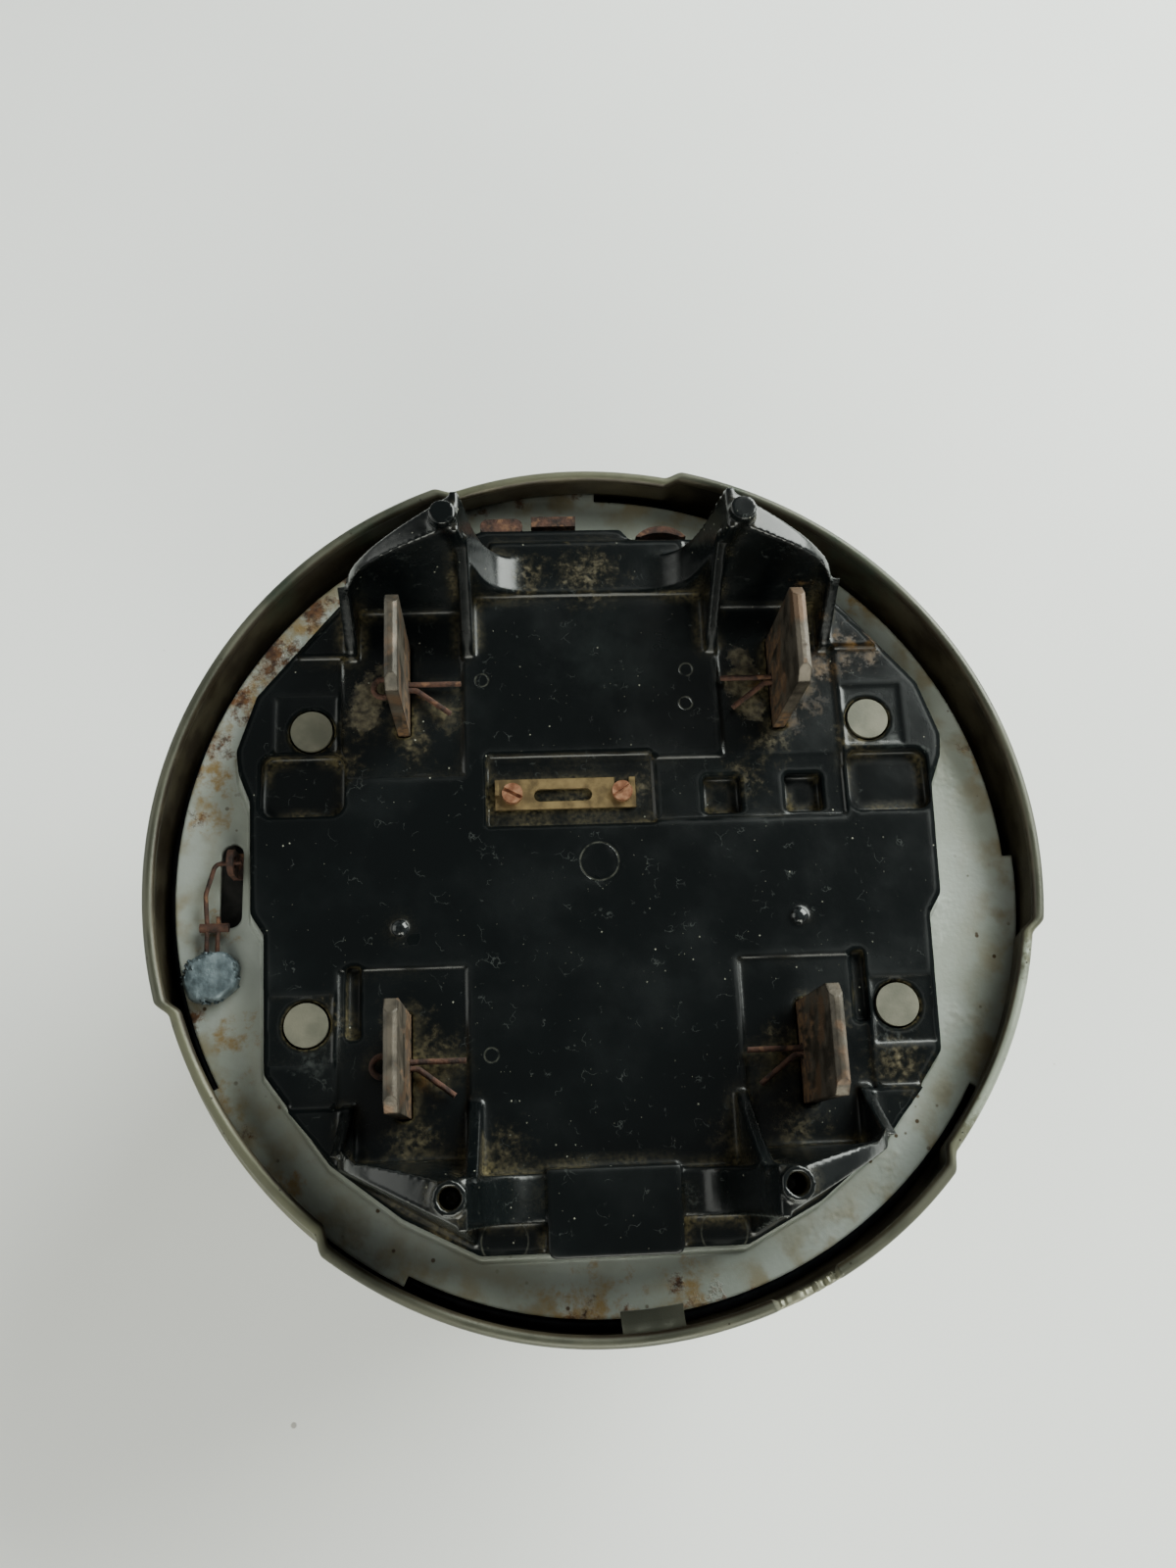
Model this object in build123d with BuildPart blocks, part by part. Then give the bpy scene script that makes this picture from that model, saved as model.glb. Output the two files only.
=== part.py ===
"""Plug-in single-phase electricity meter, lying face down on its glass.

Millimetres. Z is 0 on the flat front of the glass and grows towards the back, where the four
blades stand. +Y is up when the meter hangs in its socket, and the centre line of the rim is x = y = 0.
"""

import math
import os

from build123d import *

os.makedirs("parts", exist_ok=True)

# Driving sizes.
rim_radius = 88.1
rim_sheet = 1.0
block_face = 124.0
foot_height = 31.4
blade_reach = 28.0
blade_x = 38.0
blade_y = 37.4
blade_width = 19.05
blade_thick = 2.4
pan_face = block_face - 9.0
pan_sheet = 1.2
pan_radius = 84.0
lug_radius = 86.0
rotor_z = 52.0
disc_radius = 42.0
dial_pitch = 19.0
running_gap = 0.05
corners = [(1, 1), (-1, 1), (-1, -1), (1, -1)]

# Heights stacked through the rim, from the pan towards the glass.
pan_under = pan_face - pan_sheet
platform_face = pan_face + 1.8
gasket_top = pan_under - 0.1
gasket_thick = 3.0
gasket_lip = 1.6
lip_top = gasket_top - gasket_thick
lip_thick = 4.0
flange_top = lip_top - lip_thick
rim_free_edge = block_face + 2.2

# Angles of the three pressed stretches of the rim, and of the pan lugs under them.
bayonets = [(77.0, 110.0), (197.0, 232.0), (317.5, 350.0)]
lug_turn = 11.0
tab_angle = 274.5


# ---------------------------------------------------------------------------------------------
# Cover: glass cup, spring ring, gasket and metal rim
# ---------------------------------------------------------------------------------------------

glass_radius = 75.0
glass_wall = 3.6
glass_front = 4.0
glass_lip_radius = 83.4
glass_corner = 9.0

with BuildPart() as glass_cover:
    with BuildSketch(Plane.XZ):
        with BuildLine():
            outside = Polyline(
                (0, 0),
                (glass_radius - glass_corner, 0),
            )
            front_round = RadiusArc(
                outside @ 1,
                (glass_radius, glass_corner),
                -glass_corner,
            )
            wall_out = Polyline(
                front_round @ 1,
                (glass_radius + 1.4, flange_top),
                (glass_lip_radius, flange_top),
                (glass_lip_radius, lip_top),
                (glass_radius + 1.4 - glass_wall, lip_top),
                (glass_radius - glass_wall, glass_corner),
            )
            front_inside = RadiusArc(
                wall_out @ 1,
                (glass_radius - glass_corner, glass_front),
                glass_corner - glass_wall,
            )
            Polyline(front_inside @ 1, (0, glass_front), (0, 0))
        make_face()
    revolve(axis=Axis.Z)
glass_cover.part.label = "glass_cover"
export_step(glass_cover.part, "parts/glass_cover.step")


spring_radius = 85.3
spring_wire = 1.2

with BuildPart() as glass_spring_ring:
    with BuildSketch(Plane.XZ):
        with Locations((spring_radius, lip_top - 1.5)):
            Circle(spring_wire)
    revolve(axis=Axis.Z, revolution_arc=345)
glass_spring_ring.part.label = "glass_spring_ring"
export_step(glass_spring_ring.part, "parts/glass_spring_ring.step")


with BuildPart() as cover_gasket:
    with BuildSketch(Plane.XY.offset(lip_top)):
        Circle(83.0)
        Circle(76.0, mode=Mode.SUBTRACT)
    extrude(amount=gasket_thick)
    with BuildSketch(Plane.XY.offset(lip_top)):
        Circle(76.5)
        Circle(70.2, mode=Mode.SUBTRACT)
    extrude(amount=gasket_lip)
cover_gasket.part.label = "cover_gasket"
export_step(cover_gasket.part, "parts/cover_gasket.step")


flange_sheet = 1.2
bead_radius = 1.2
press_depth = 2.1
press_ledge = pan_face + 0.4
rim_inside = rim_radius - rim_sheet
pressed_outside = rim_radius - press_depth
bead_height = rim_free_edge - bead_radius

with BuildPart() as cover_ring:
    with BuildSketch(Plane.XZ):
        Polygon(
            (77.6, flange_top - flange_sheet),
            (rim_radius - 2, flange_top - flange_sheet),
            (rim_radius, flange_top + 0.8),
            (rim_radius, bead_height),
            (rim_inside, bead_height),
            (rim_inside, flange_top + 0.8),
            (rim_inside - 0.8, flange_top),
            (77.6, flange_top),
            align=None,
        )
        with Locations((rim_radius - bead_radius, bead_height)):
            Circle(bead_radius)
    revolve(axis=Axis.Z)
    for start, end in bayonets:
        turned = Plane.XZ.rotated((0, 0, start))
        with BuildSketch(turned):
            Polygon(
                (80, press_ledge),
                (rim_radius + 1, press_ledge),
                (rim_radius + 1, rim_free_edge + 1),
                (80, rim_free_edge + 1),
                align=None,
            )
        revolve(axis=Axis.Z, revolution_arc=end - start, mode=Mode.SUBTRACT)
        with BuildSketch(turned):
            Polygon(
                (pressed_outside - rim_sheet, press_ledge - rim_sheet + 1.2),
                (rim_inside, press_ledge - 0.6),
                (rim_radius, press_ledge - 0.6),
                (rim_radius, press_ledge),
                (pressed_outside, press_ledge + 1.6),
                (pressed_outside, bead_height),
                (pressed_outside - rim_sheet, bead_height),
                align=None,
            )
            with Locations((pressed_outside - bead_radius + 0.2, bead_height)):
                Circle(bead_radius)
        revolve(axis=Axis.Z, revolution_arc=end - start)
    with BuildSketch(Plane.XY.offset(pan_face + 2.2)):
        with Locations(Location((85.6 * math.cos(math.radians(tab_angle)),
                                 85.6 * math.sin(math.radians(tab_angle))), tab_angle)):
            Rectangle(3.6, 11.5)
    extrude(amount=rim_sheet)
cover_ring.part.label = "cover_ring"
export_step(cover_ring.part, "parts/cover_ring.step")


# ---------------------------------------------------------------------------------------------
# Base pan, and the outline of the terminal block that it is pressed around
# ---------------------------------------------------------------------------------------------

top_edge = [(-24.2, 71.8), (-21.8, 73.0), (7.6, 73.0), (9.6, 70.6), (24.2, 70.4)]
half_outline = [
    (38.5, 65.0),
    (51.4, 56.4),
    (67.6, 37.0),
    (71.3, 25.5),
    (70.8, 21.0),
    (68.4, 15.0),
    (67.6, -7.5),
    (65.0, -11.5),
    (64.2, -38.0),
    (51.8, -54.6),
    (38.5, -64.6),
    (24.4, -71.6),
]
outline = top_edge + half_outline + [(-x, y) for x, y in reversed(half_outline)]
well_size = (104.0, 108.0)
well_radius = 64.0
rivet_x = 56.4
rivet_y = 29.1
rivet_head = 4.15
rivet_shank = 2.6
seal_slot_x = -73.0
seal_slot_length = 17.0
seal_slot_width = 4.4

with BuildPart() as base_pan:
    with BuildSketch(Plane.XY.offset(pan_under)):
        Circle(pan_radius)
        for start, end in bayonets:
            with BuildLine(mode=Mode.PRIVATE) as lug_edge:
                arc = CenterArc((0, 0), lug_radius, start + lug_turn, end - start)
                Polyline(arc @ 1, (0, 0), arc @ 0)
            add(make_face(lug_edge.line.edges(), mode=Mode.PRIVATE))
    extrude(amount=pan_sheet)
    with BuildSketch(Plane.XY.offset(pan_under)):
        with BuildLine():
            Polyline(outline, close=True)
        make_face()
        offset(amount=2.2, kind=Kind.ARC)
    extrude(amount=platform_face - pan_under, taper=20)
    with BuildSketch(Plane.XY.offset(pan_under)):
        with BuildLine():
            Polyline(outline, close=True)
        make_face()
        offset(amount=0.2, kind=Kind.ARC)
    extrude(amount=platform_face - pan_sheet - pan_under, mode=Mode.SUBTRACT)
    with BuildSketch(Plane.XY.offset(pan_under - 1)):
        Rectangle(well_size[0] + 0.6, well_size[1] + 0.6)
        Circle(well_radius + 0.3, mode=Mode.INTERSECT)
    extrude(amount=10, mode=Mode.SUBTRACT)
    with BuildSketch(Plane.XY.offset(pan_under - 1)):
        with Locations((seal_slot_x, 0)):
            SlotOverall(seal_slot_length, seal_slot_width, rotation=90)
    extrude(amount=5, mode=Mode.SUBTRACT)
    with BuildSketch(Plane.XY.offset(pan_under - 1)):
        with GridLocations(2 * rivet_x, 2 * rivet_y, 2, 2):
            Circle(rivet_shank + running_gap)
    extrude(amount=10, mode=Mode.SUBTRACT)
base_pan.part.label = "base_pan"
export_step(base_pan.part, "parts/base_pan.step")


# ---------------------------------------------------------------------------------------------
# Terminal block: black moulding with four feet, barriers round the blades and shallow pockets
# ---------------------------------------------------------------------------------------------

foot_x = 28.2
foot_y = 60.8
foot_root = 4.1
foot_tip = (2.55, 2.9)
foot_bore = 1.85
cheek_sheet = 2.4
inner_cheek_x = 25.0
outer_cheek_x = 48.4
cheek_start = 44.0
pocket_wall = 54.5
upper_saddle = 0.9
lower_saddle = 4.2
link_floor = 1.2
slot_gap = 0.25
block_seat = platform_face
block_inside = 106.0


def mirrored(points, side_x, side_y):
    """The same outline in another quarter of the block."""
    return [(side_x * x, side_y * y) for x, y in points]


def barrier_wing(side_x, side_y):
    """Wall behind a blade: from the foot out to the corner of the block, falling outwards."""
    base = [(23.8, pocket_wall), (47.5, pocket_wall), (49.6, 52.0), (50.2, 55.6), (25.0, 69.8)]
    top = [(25.4, 59.4), (43.5, 54.6), (47.0, 51.5), (48.0, 54.2), (27.0, 65.2)]
    with BuildPart() as wing:
        with BuildSketch(Plane.XY.offset(block_face - 1)):
            Polygon(*mirrored(base, side_x, side_y), align=None)
        with BuildSketch(Plane.XY.offset(block_face + foot_height - 1.4)):
            Polygon(*mirrored(top, side_x, side_y), align=None)
        loft(ruled=True)
        with BuildSketch(Plane.XZ.offset(-90)):
            with BuildLine():
                crest = Spline(
                    (side_x * 24.0, block_face + foot_height - 1.4),
                    (side_x * 34.5, block_face + 27.0),
                    (side_x * 42.0, block_face + 23.2),
                    (side_x * 46.8, block_face + 17.5),
                    (side_x * 49.0, block_face + 8.0),
                    (side_x * 50.4, block_face + 1.0),
                )
                Polyline(
                    crest @ 1,
                    (side_x * 54, block_face + 1.0),
                    (side_x * 54, block_face + 40),
                    (side_x * 24, block_face + 40),
                    crest @ 0,
                )
            make_face()
        extrude(amount=180, mode=Mode.SUBTRACT)
    return wing.part


def barrier_cheek(x, side_y, crest_height, tip):
    """Thin gusset beside a blade, running out to nothing on the block's face."""
    with BuildPart() as cheek:
        with BuildSketch(Plane.YZ.offset(x - cheek_sheet / 2)):
            with BuildLine():
                slope = Spline(
                    (side_y * cheek_start, block_face),
                    (side_y * (cheek_start + 0.45 * (tip - cheek_start)),
                     block_face + 0.40 * crest_height),
                    (side_y * tip, block_face + crest_height),
                )
                Polyline(
                    slope @ 1,
                    (side_y * tip, block_face - 1),
                    (side_y * cheek_start, block_face - 1),
                    slope @ 0,
                )
            make_face()
        extrude(amount=cheek_sheet)
    return cheek.part


def saddle(side_y):
    """Rib between two feet whose top sweeps up to each of them: nearly flush with the face at
    the upper side, and standing over a raised pad at the lower side."""
    floor = upper_saddle if side_y > 0 else lower_saddle
    with BuildPart() as rib:
        with BuildSketch(Plane.XZ.offset(-side_y * 57.6)):
            with BuildLine():
                rise = Spline(
                    (-25.4, block_face + foot_height - 2),
                    (-21.8, block_face + floor + 8.5),
                    (-12.0, block_face + floor),
                    tangents=[(0.2, -1.0), (1.0, 0.0)],
                )
                Polyline(
                    rise @ 1,
                    (0, block_face + floor),
                    (0, block_face - 1),
                    (-27.0, block_face - 1),
                    (-27.0, block_face + foot_height - 2),
                    rise @ 0,
                )
            make_face()
            mirror(about=Plane.YZ)
        extrude(amount=-side_y * 8.4)
        if side_y < 0:
            with BuildSketch(Plane.XY.offset(block_face - 1)):
                with Locations((0, -64.6)):
                    pad = Rectangle(24.4, 15.4)
                fillet(pad.vertices().group_by(Axis.Y)[0], radius=1.4)
            extrude(amount=1 + floor + 0.5)
        else:
            with BuildSketch(Plane.XY.offset(block_face - 1)):
                Polygon((-23.0, 57.6), (23.0, 57.6), (20.0, 69.6), (-20.0, 69.6), align=None)
            extrude(amount=1 + floor)
    return rib.part


def foot(side_x, side_y):
    """Tapered post; the two upper feet are solid, the two lower ones have a blind bore."""
    tip = foot_tip[0] if side_y > 0 else foot_tip[1]
    with BuildPart() as post:
        with BuildSketch(Plane.XY.offset(block_face - 1)):
            with Locations((side_x * foot_x, side_y * foot_y)):
                Circle(foot_root)
        with BuildSketch(Plane.XY.offset(block_face + foot_height - 3)):
            with Locations((side_x * foot_x, side_y * foot_y)):
                Circle(tip + 0.1)
        loft()
        with BuildSketch(Plane.XY.offset(block_face + foot_height - 3)):
            with Locations((side_x * foot_x, side_y * foot_y)):
                Circle(tip)
        extrude(amount=3)
    return post.part


wings = [barrier_wing(sx, sy) for sx, sy in corners]
inner_cheeks = [barrier_cheek(sx * inner_cheek_x, sy, 26.0, 59.0) for sx, sy in corners]
outer_cheeks = [barrier_cheek(sx * outer_cheek_x, sy, 15.5, 53.5) for sx, sy in corners]
feet = [foot(sx, sy) for sx, sy in corners]
saddles = [saddle(1), saddle(-1)]

with BuildPart() as terminal_block:
    with BuildSketch(Plane.XY.offset(block_seat)):
        with BuildLine():
            Polyline(outline, close=True)
        make_face()
    extrude(amount=block_face - block_seat)
    rim_edges = terminal_block.faces().sort_by(Axis.Z)[-1].edges()
    chamfer(rim_edges, length=0.7)
    with BuildSketch(Plane.XY.offset(block_inside)):
        Rectangle(*well_size)
        Circle(well_radius, mode=Mode.INTERSECT)
    extrude(amount=block_seat - block_inside)
    # Corner pads outside the cheeks stand a little proud of the face.
    for side_x, side_y in corners:
        pad = [(47.2, 44.6), (59.6, 44.6), (50.0, 55.6), (47.2, 55.6)]
        with BuildSketch(Plane.XY.offset(block_face - 1)):
            Polygon(*mirrored(pad, side_x, side_y), align=None)
        extrude(amount=2.2)
    # Shallow square panels round the blades, which run into the barrier pockets.
    with BuildSketch(Plane.XY.offset(block_face - 0.5)):
        with GridLocations(2 * blade_x + 0.5, 2 * 36.7, 2, 2):
            Rectangle(24.6, 35.6)
    extrude(amount=1, mode=Mode.SUBTRACT)
    add(wings)
    add(inner_cheeks)
    add(outer_cheeks)
    add(feet)
    add(saddles)
    # Blind bores in the two lower feet.
    with BuildSketch(Plane.XY.offset(block_face + foot_height)):
        with Locations((foot_x, -foot_y), (-foot_x, -foot_y)):
            Circle(foot_bore)
    extrude(amount=-9, mode=Mode.SUBTRACT)
    # Rounded finger pockets at both sides.
    with BuildSketch(Plane.XY.offset(block_face - 3)):
        with Locations((-58.0, 17.9), (59.4, 16.2)):
            RectangleRounded(16.4, 12.8, 2.6)
    extrude(amount=4, mode=Mode.SUBTRACT)
    # Long recess of the test link, with two square wells beside it.
    with BuildSketch(Plane.XY.offset(block_face - link_floor)):
        with Locations((-5.0, 15.8)):
            Rectangle(33.4, 14.8)
    extrude(amount=4, mode=Mode.SUBTRACT)
    with BuildSketch(Plane.XY.offset(block_face - 0.6)):
        with Locations((31.0, 15.4)):
            Rectangle(38.6, 13.2)
    extrude(amount=4, mode=Mode.SUBTRACT)
    with BuildSketch(Plane.XY.offset(block_face - 3.4)):
        with Locations((25.5, 14.0), (42.0, 14.0)):
            Rectangle(7.4, 7.8)
    extrude(amount=4, mode=Mode.SUBTRACT)
    # Upright slots beside the lower rivets, and square sinkings round the rivets.
    with BuildSketch(Plane.XY.offset(block_face - 2)):
        with Locations((-47.6, -25.2), (49.4, -25.2)):
            Rectangle(2.8, 13.6)
    extrude(amount=4, mode=Mode.SUBTRACT)
    with BuildSketch(Plane.XY.offset(block_face - 0.35)):
        with GridLocations(2 * 57.4, 2 * 30.0, 2, 2):
            Rectangle(12.4, 13.0)
    extrude(amount=1, mode=Mode.SUBTRACT)
    # Ejector and gate marks of the mould.
    with BuildSketch(Plane.XY.offset(block_face - 0.25)):
        with Locations((0.2, 0.8)):
            Circle(4.0)
            Circle(3.6, mode=Mode.SUBTRACT)
        with Locations((-21.7, -35.9), (-22.2, 39.2), (19.7, 40.6), (19.2, 33.3)):
            Circle(1.5)
            Circle(1.15, mode=Mode.SUBTRACT)
    extrude(amount=1, mode=Mode.SUBTRACT)
    with BuildSketch(Plane.XY.offset(block_face - 0.3)):
        with Locations((20.0, -69.2), (-20.0, -69.2)):
            Circle(4.4)
            Circle(4.1, mode=Mode.SUBTRACT)
    extrude(amount=1, mode=Mode.SUBTRACT)
    # Small glossy domes between the blades.
    with Locations((38.8, -11.3, block_face - 0.6), (-38.8, -11.3, block_face - 0.6)):
        Sphere(1.7)
    # Slots for the blades, holes for the rivets and the link screws.
    with BuildSketch(Plane.XY.offset(block_inside - 1)):
        with GridLocations(2 * blade_x, 2 * blade_y, 2, 2):
            Rectangle(blade_thick + 2 * slot_gap, blade_width + 2 * slot_gap)
    extrude(amount=block_face - block_inside + 2, mode=Mode.SUBTRACT)
    with BuildSketch(Plane.XY.offset(block_inside - 1)):
        with GridLocations(2 * rivet_x, 2 * rivet_y, 2, 2):
            Circle(rivet_shank + running_gap)
    extrude(amount=block_face - block_inside + 2, mode=Mode.SUBTRACT)
    with BuildSketch(Plane.XY.offset(block_seat + 1.8)):
        with GridLocations(2 * rivet_x, 2 * rivet_y, 2, 2):
            Circle(rivet_head + 0.35)
    extrude(amount=10, mode=Mode.SUBTRACT)
    with BuildSketch(Plane.XY.offset(block_inside + 4)):
        with Locations((-16.6, 14.9), (5.3, 14.9)):
            Circle(1.0 + running_gap)
    extrude(amount=20, mode=Mode.SUBTRACT)
terminal_block.part.label = "terminal_block"
export_step(terminal_block.part, "parts/terminal_block.step")


# ---------------------------------------------------------------------------------------------
# Blades, split pins and rivets
# ---------------------------------------------------------------------------------------------

blade_inner_end = 98.0
blade_shoulder = 24.0
pin_height = 1.3
pin_wire = 0.55
eye_radius = 1.9
blade_names = {
    (1, 1): "line_blade_right",
    (-1, 1): "line_blade_left",
    (-1, -1): "load_blade_left",
    (1, -1): "load_blade_right",
}


def blade(side_x, side_y):
    """Flat plug-in blade with a shoulder under the block and a hole for its split pin."""
    low = block_face - blade_inner_end
    with BuildPart() as bar:
        with BuildSketch(Plane.YZ.offset(side_x * blade_x - blade_thick / 2)):
            with Locations((side_y * blade_y, block_face + (blade_reach - low) / 2)):
                tongue = Rectangle(blade_width, blade_reach + low)
            chamfer(tongue.vertices().group_by(Axis.Y)[-1], length=2.6)
            with Locations((side_y * blade_y, (blade_inner_end + block_inside - 0.1) / 2)):
                Rectangle(blade_shoulder, block_inside - 0.1 - blade_inner_end)
            with Locations((side_y * blade_y, block_face + pin_height)):
                Circle(1.45, mode=Mode.SUBTRACT)
        extrude(amount=blade_thick)
        tip_edges = bar.edges().group_by(Axis.Z)[-1].filter_by(Axis.Y)
        chamfer(tip_edges, length=0.7)
    return bar.part


for quarter, blade_name in blade_names.items():
    blade_part = blade(*quarter)
    blade_part.label = blade_name
    export_step(blade_part, "parts/" + blade_name + ".step")


def split_pin(side_x, side_y):
    """Split pin lying through the blade: eye outside, legs opened towards the middle."""
    height = block_face + pin_height
    eye_x = side_x * (blade_x + blade_thick / 2 + 0.9 + eye_radius)
    leg_y = side_y * blade_y
    start = eye_x - side_x * eye_radius
    inner = side_x * (blade_x - blade_thick / 2 - 1.4)
    fall = math.radians(37)
    with BuildPart() as pin:
        with Locations((eye_x, leg_y, height)):
            Torus(eye_radius, pin_wire + 0.05)
        with BuildLine(Plane.XY.offset(height)) as straight_leg:
            Line((start, leg_y + 0.6), (inner - side_x * 9.0, leg_y + 0.6))
        with BuildSketch(Plane(straight_leg.line @ 0, z_dir=straight_leg.line % 0)):
            Circle(pin_wire)
        sweep(path=straight_leg.line)
        with BuildLine(Plane.XY.offset(height)) as bent_leg:
            FilletPolyline(
                (start, leg_y - 0.6),
                (inner, leg_y - 0.6),
                (inner - side_x * 8.6 * math.cos(fall), leg_y - 0.6 - 8.6 * math.sin(fall)),
                radius=1.5,
            )
        with BuildSketch(Plane(bent_leg.line @ 0, z_dir=bent_leg.line % 0)):
            Circle(pin_wire)
        sweep(path=bent_leg.line)
    return pin.part


cotter_pins = Compound(label="cotter_pins", children=[split_pin(sx, sy) for sx, sy in corners])
export_step(cotter_pins, "parts/cotter_pins.step")


with BuildPart() as base_rivets:
    with BuildSketch(Plane.XY.offset(block_seat + 2.2)):
        with GridLocations(2 * rivet_x, 2 * rivet_y, 2, 2):
            Circle(rivet_head)
    extrude(amount=block_face - 0.1 - block_seat - 2.2)
    with BuildSketch(Plane.XY.offset(pan_under - 0.2)):
        with GridLocations(2 * rivet_x, 2 * rivet_y, 2, 2):
            Circle(rivet_shank)
    extrude(amount=block_seat + 2.4 - pan_under)
    with BuildSketch(Plane.XY.offset(platform_face - pan_sheet - 1.6)):
        with GridLocations(2 * rivet_x, 2 * rivet_y, 2, 2):
            Circle(rivet_head - 0.4)
    extrude(amount=1.6)
base_rivets.part.label = "base_rivets"
export_step(base_rivets.part, "parts/base_rivets.step")


# ---------------------------------------------------------------------------------------------
# Test link and its screws, and the clips behind the block's top edge
# ---------------------------------------------------------------------------------------------

link_left = -20.0
link_right = 8.0
link_width = 6.2
link_sheet = 0.8
link_y = 14.9
pivot_screw_x = -16.6
clamp_screw_x = 5.3
screw_shank = 1.0
screw_head = 2.05
link_level = block_face - link_floor + 0.05

with BuildPart() as test_link:
    with BuildSketch(Plane.XY.offset(link_level)):
        with Locations(((link_left + link_right) / 2, link_y)):
            Rectangle(link_right - link_left, link_width)
        with Locations((pivot_screw_x, link_y)):
            Circle(screw_shank + running_gap, mode=Mode.SUBTRACT)
        with Locations((-6.5, link_y - 0.3)):
            SlotOverall(11.6, 2.6, mode=Mode.SUBTRACT)
        with Locations((clamp_screw_x, link_y + 2.4)):
            Rectangle(2 * screw_shank + 1.0, 4.8 + 2 * screw_shank + 0.4, mode=Mode.SUBTRACT)
    extrude(amount=link_sheet)
    with BuildSketch(Plane.XY.offset(link_level)):
        with Locations((link_left + 0.4, link_y + 1.2)):
            Rectangle(0.8, 3.0)
    extrude(amount=link_sheet + 1.0)
test_link.part.label = "test_link"
export_step(test_link.part, "parts/test_link.step")


screw_base = link_level + link_sheet + 0.05

with BuildPart() as link_screws:
    with BuildSketch(Plane.XY.offset(screw_base)):
        with Locations((pivot_screw_x, link_y), (clamp_screw_x, link_y)):
            Circle(screw_head)
    extrude(amount=1.3)
    with BuildSketch(Plane.XY.offset(screw_base - 9)):
        with Locations((pivot_screw_x, link_y), (clamp_screw_x, link_y)):
            Circle(screw_shank)
    extrude(amount=9.2)
    with BuildSketch(Plane.XY.offset(screw_base + 0.7)):
        with Locations(Location((pivot_screw_x, link_y), -28), Location((clamp_screw_x, link_y), 33)):
            Rectangle(5, 0.7)
    extrude(amount=1, mode=Mode.SUBTRACT)
link_screws.part.label = "link_screws"
export_step(link_screws.part, "parts/link_screws.step")


with BuildPart() as edge_clips:
    with BuildSketch(Plane.XY.offset(platform_face + 0.02)):
        with Locations((-17.5, 75.2)):
            SlotOverall(9.0, 3.4)
        with Locations((-6.4, 76.1)):
            Rectangle(9.4, 2.3)
    extrude(amount=4.4)
    with BuildSketch(Plane.XY.offset(platform_face + 0.02)):
        with BuildLine():
            hoop = ThreePointArc((11.2, 72.6), (16.6, 75.0), (22.0, 72.4))
            lower_hoop = ThreePointArc((21.0, 72.3), (16.6, 73.4), (12.2, 72.5))
            Line(hoop @ 1, lower_hoop @ 0)
            Line(lower_hoop @ 1, hoop @ 0)
        make_face()
    extrude(amount=3.8)
    with BuildSketch(Plane.XY.offset(platform_face - 1)):
        with BuildLine():
            Polyline(outline, close=True)
        make_face()
        offset(amount=0.1, kind=Kind.ARC)
    extrude(amount=12, mode=Mode.SUBTRACT)
edge_clips.part.label = "edge_clips"
export_step(edge_clips.part, "parts/edge_clips.step")


# ---------------------------------------------------------------------------------------------
# Utility seal: steel hasp in the pan's slot, wire and lead
# ---------------------------------------------------------------------------------------------

hasp_x = -72.6
hasp_y = 4.2
hasp_eye_height = pan_face + 2.4
hasp_foot = pan_under - 1.25
wire_radius = 0.45

with BuildPart() as seal_hasp:
    with BuildSketch(Plane.YZ.offset(hasp_x - 0.6)):
        with BuildLine():
            Polyline(
                (hasp_y - 2.6, hasp_foot),
                (hasp_y + 2.6, hasp_foot),
                (hasp_y + 2.6, hasp_eye_height),
            )
            ThreePointArc(
                (hasp_y + 2.6, hasp_eye_height),
                (hasp_y, hasp_eye_height + 2.6),
                (hasp_y - 2.6, hasp_eye_height),
            )
            Line((hasp_y - 2.6, hasp_eye_height), (hasp_y - 2.6, hasp_foot))
        make_face()
        with Locations((hasp_y, hasp_eye_height)):
            Circle(1.2, mode=Mode.SUBTRACT)
    extrude(amount=1.2)
    with BuildSketch(Plane.XY.offset(hasp_foot)):
        with Locations((-69.6, hasp_y)):
            Rectangle(7.2, 5.2)
    extrude(amount=1.2)
seal_hasp.part.label = "seal_hasp"
export_step(seal_hasp.part, "parts/seal_hasp.step")


seal_floor = pan_face + 0.1
seal_thick = 4.2
strand_ends = [(-77.0, -14.2), (-74.9, -14.2)]
crossbar_y = -8.8

with BuildPart() as lead_seal:
    with BuildSketch(Plane.XY.offset(seal_floor)):
        Polygon(
            (-81.6, -19.4),
            (-80.6, -15.4),
            (-77.4, -13.6),
            (-73.0, -13.4),
            (-70.2, -16.0),
            (-70.6, -20.6),
            (-74.0, -23.4),
            (-79.6, -23.6),
            align=None,
        )
    extrude(amount=seal_thick)
    fillet(lead_seal.edges().filter_by(Axis.Z), radius=1.4)
    fillet(lead_seal.faces().sort_by(Axis.Z)[-1].edges(), radius=1.2)
    with BuildSketch(Plane.XZ.offset(12)):
        for strand_end in strand_ends:
            with Locations((strand_end[0], seal_floor + 2.0)):
                Circle(wire_radius + running_gap)
    extrude(amount=6, mode=Mode.SUBTRACT)
lead_seal.part.label = "lead_seal"
export_step(lead_seal.part, "parts/lead_seal.step")


strand_level = seal_floor + 2.0

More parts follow.
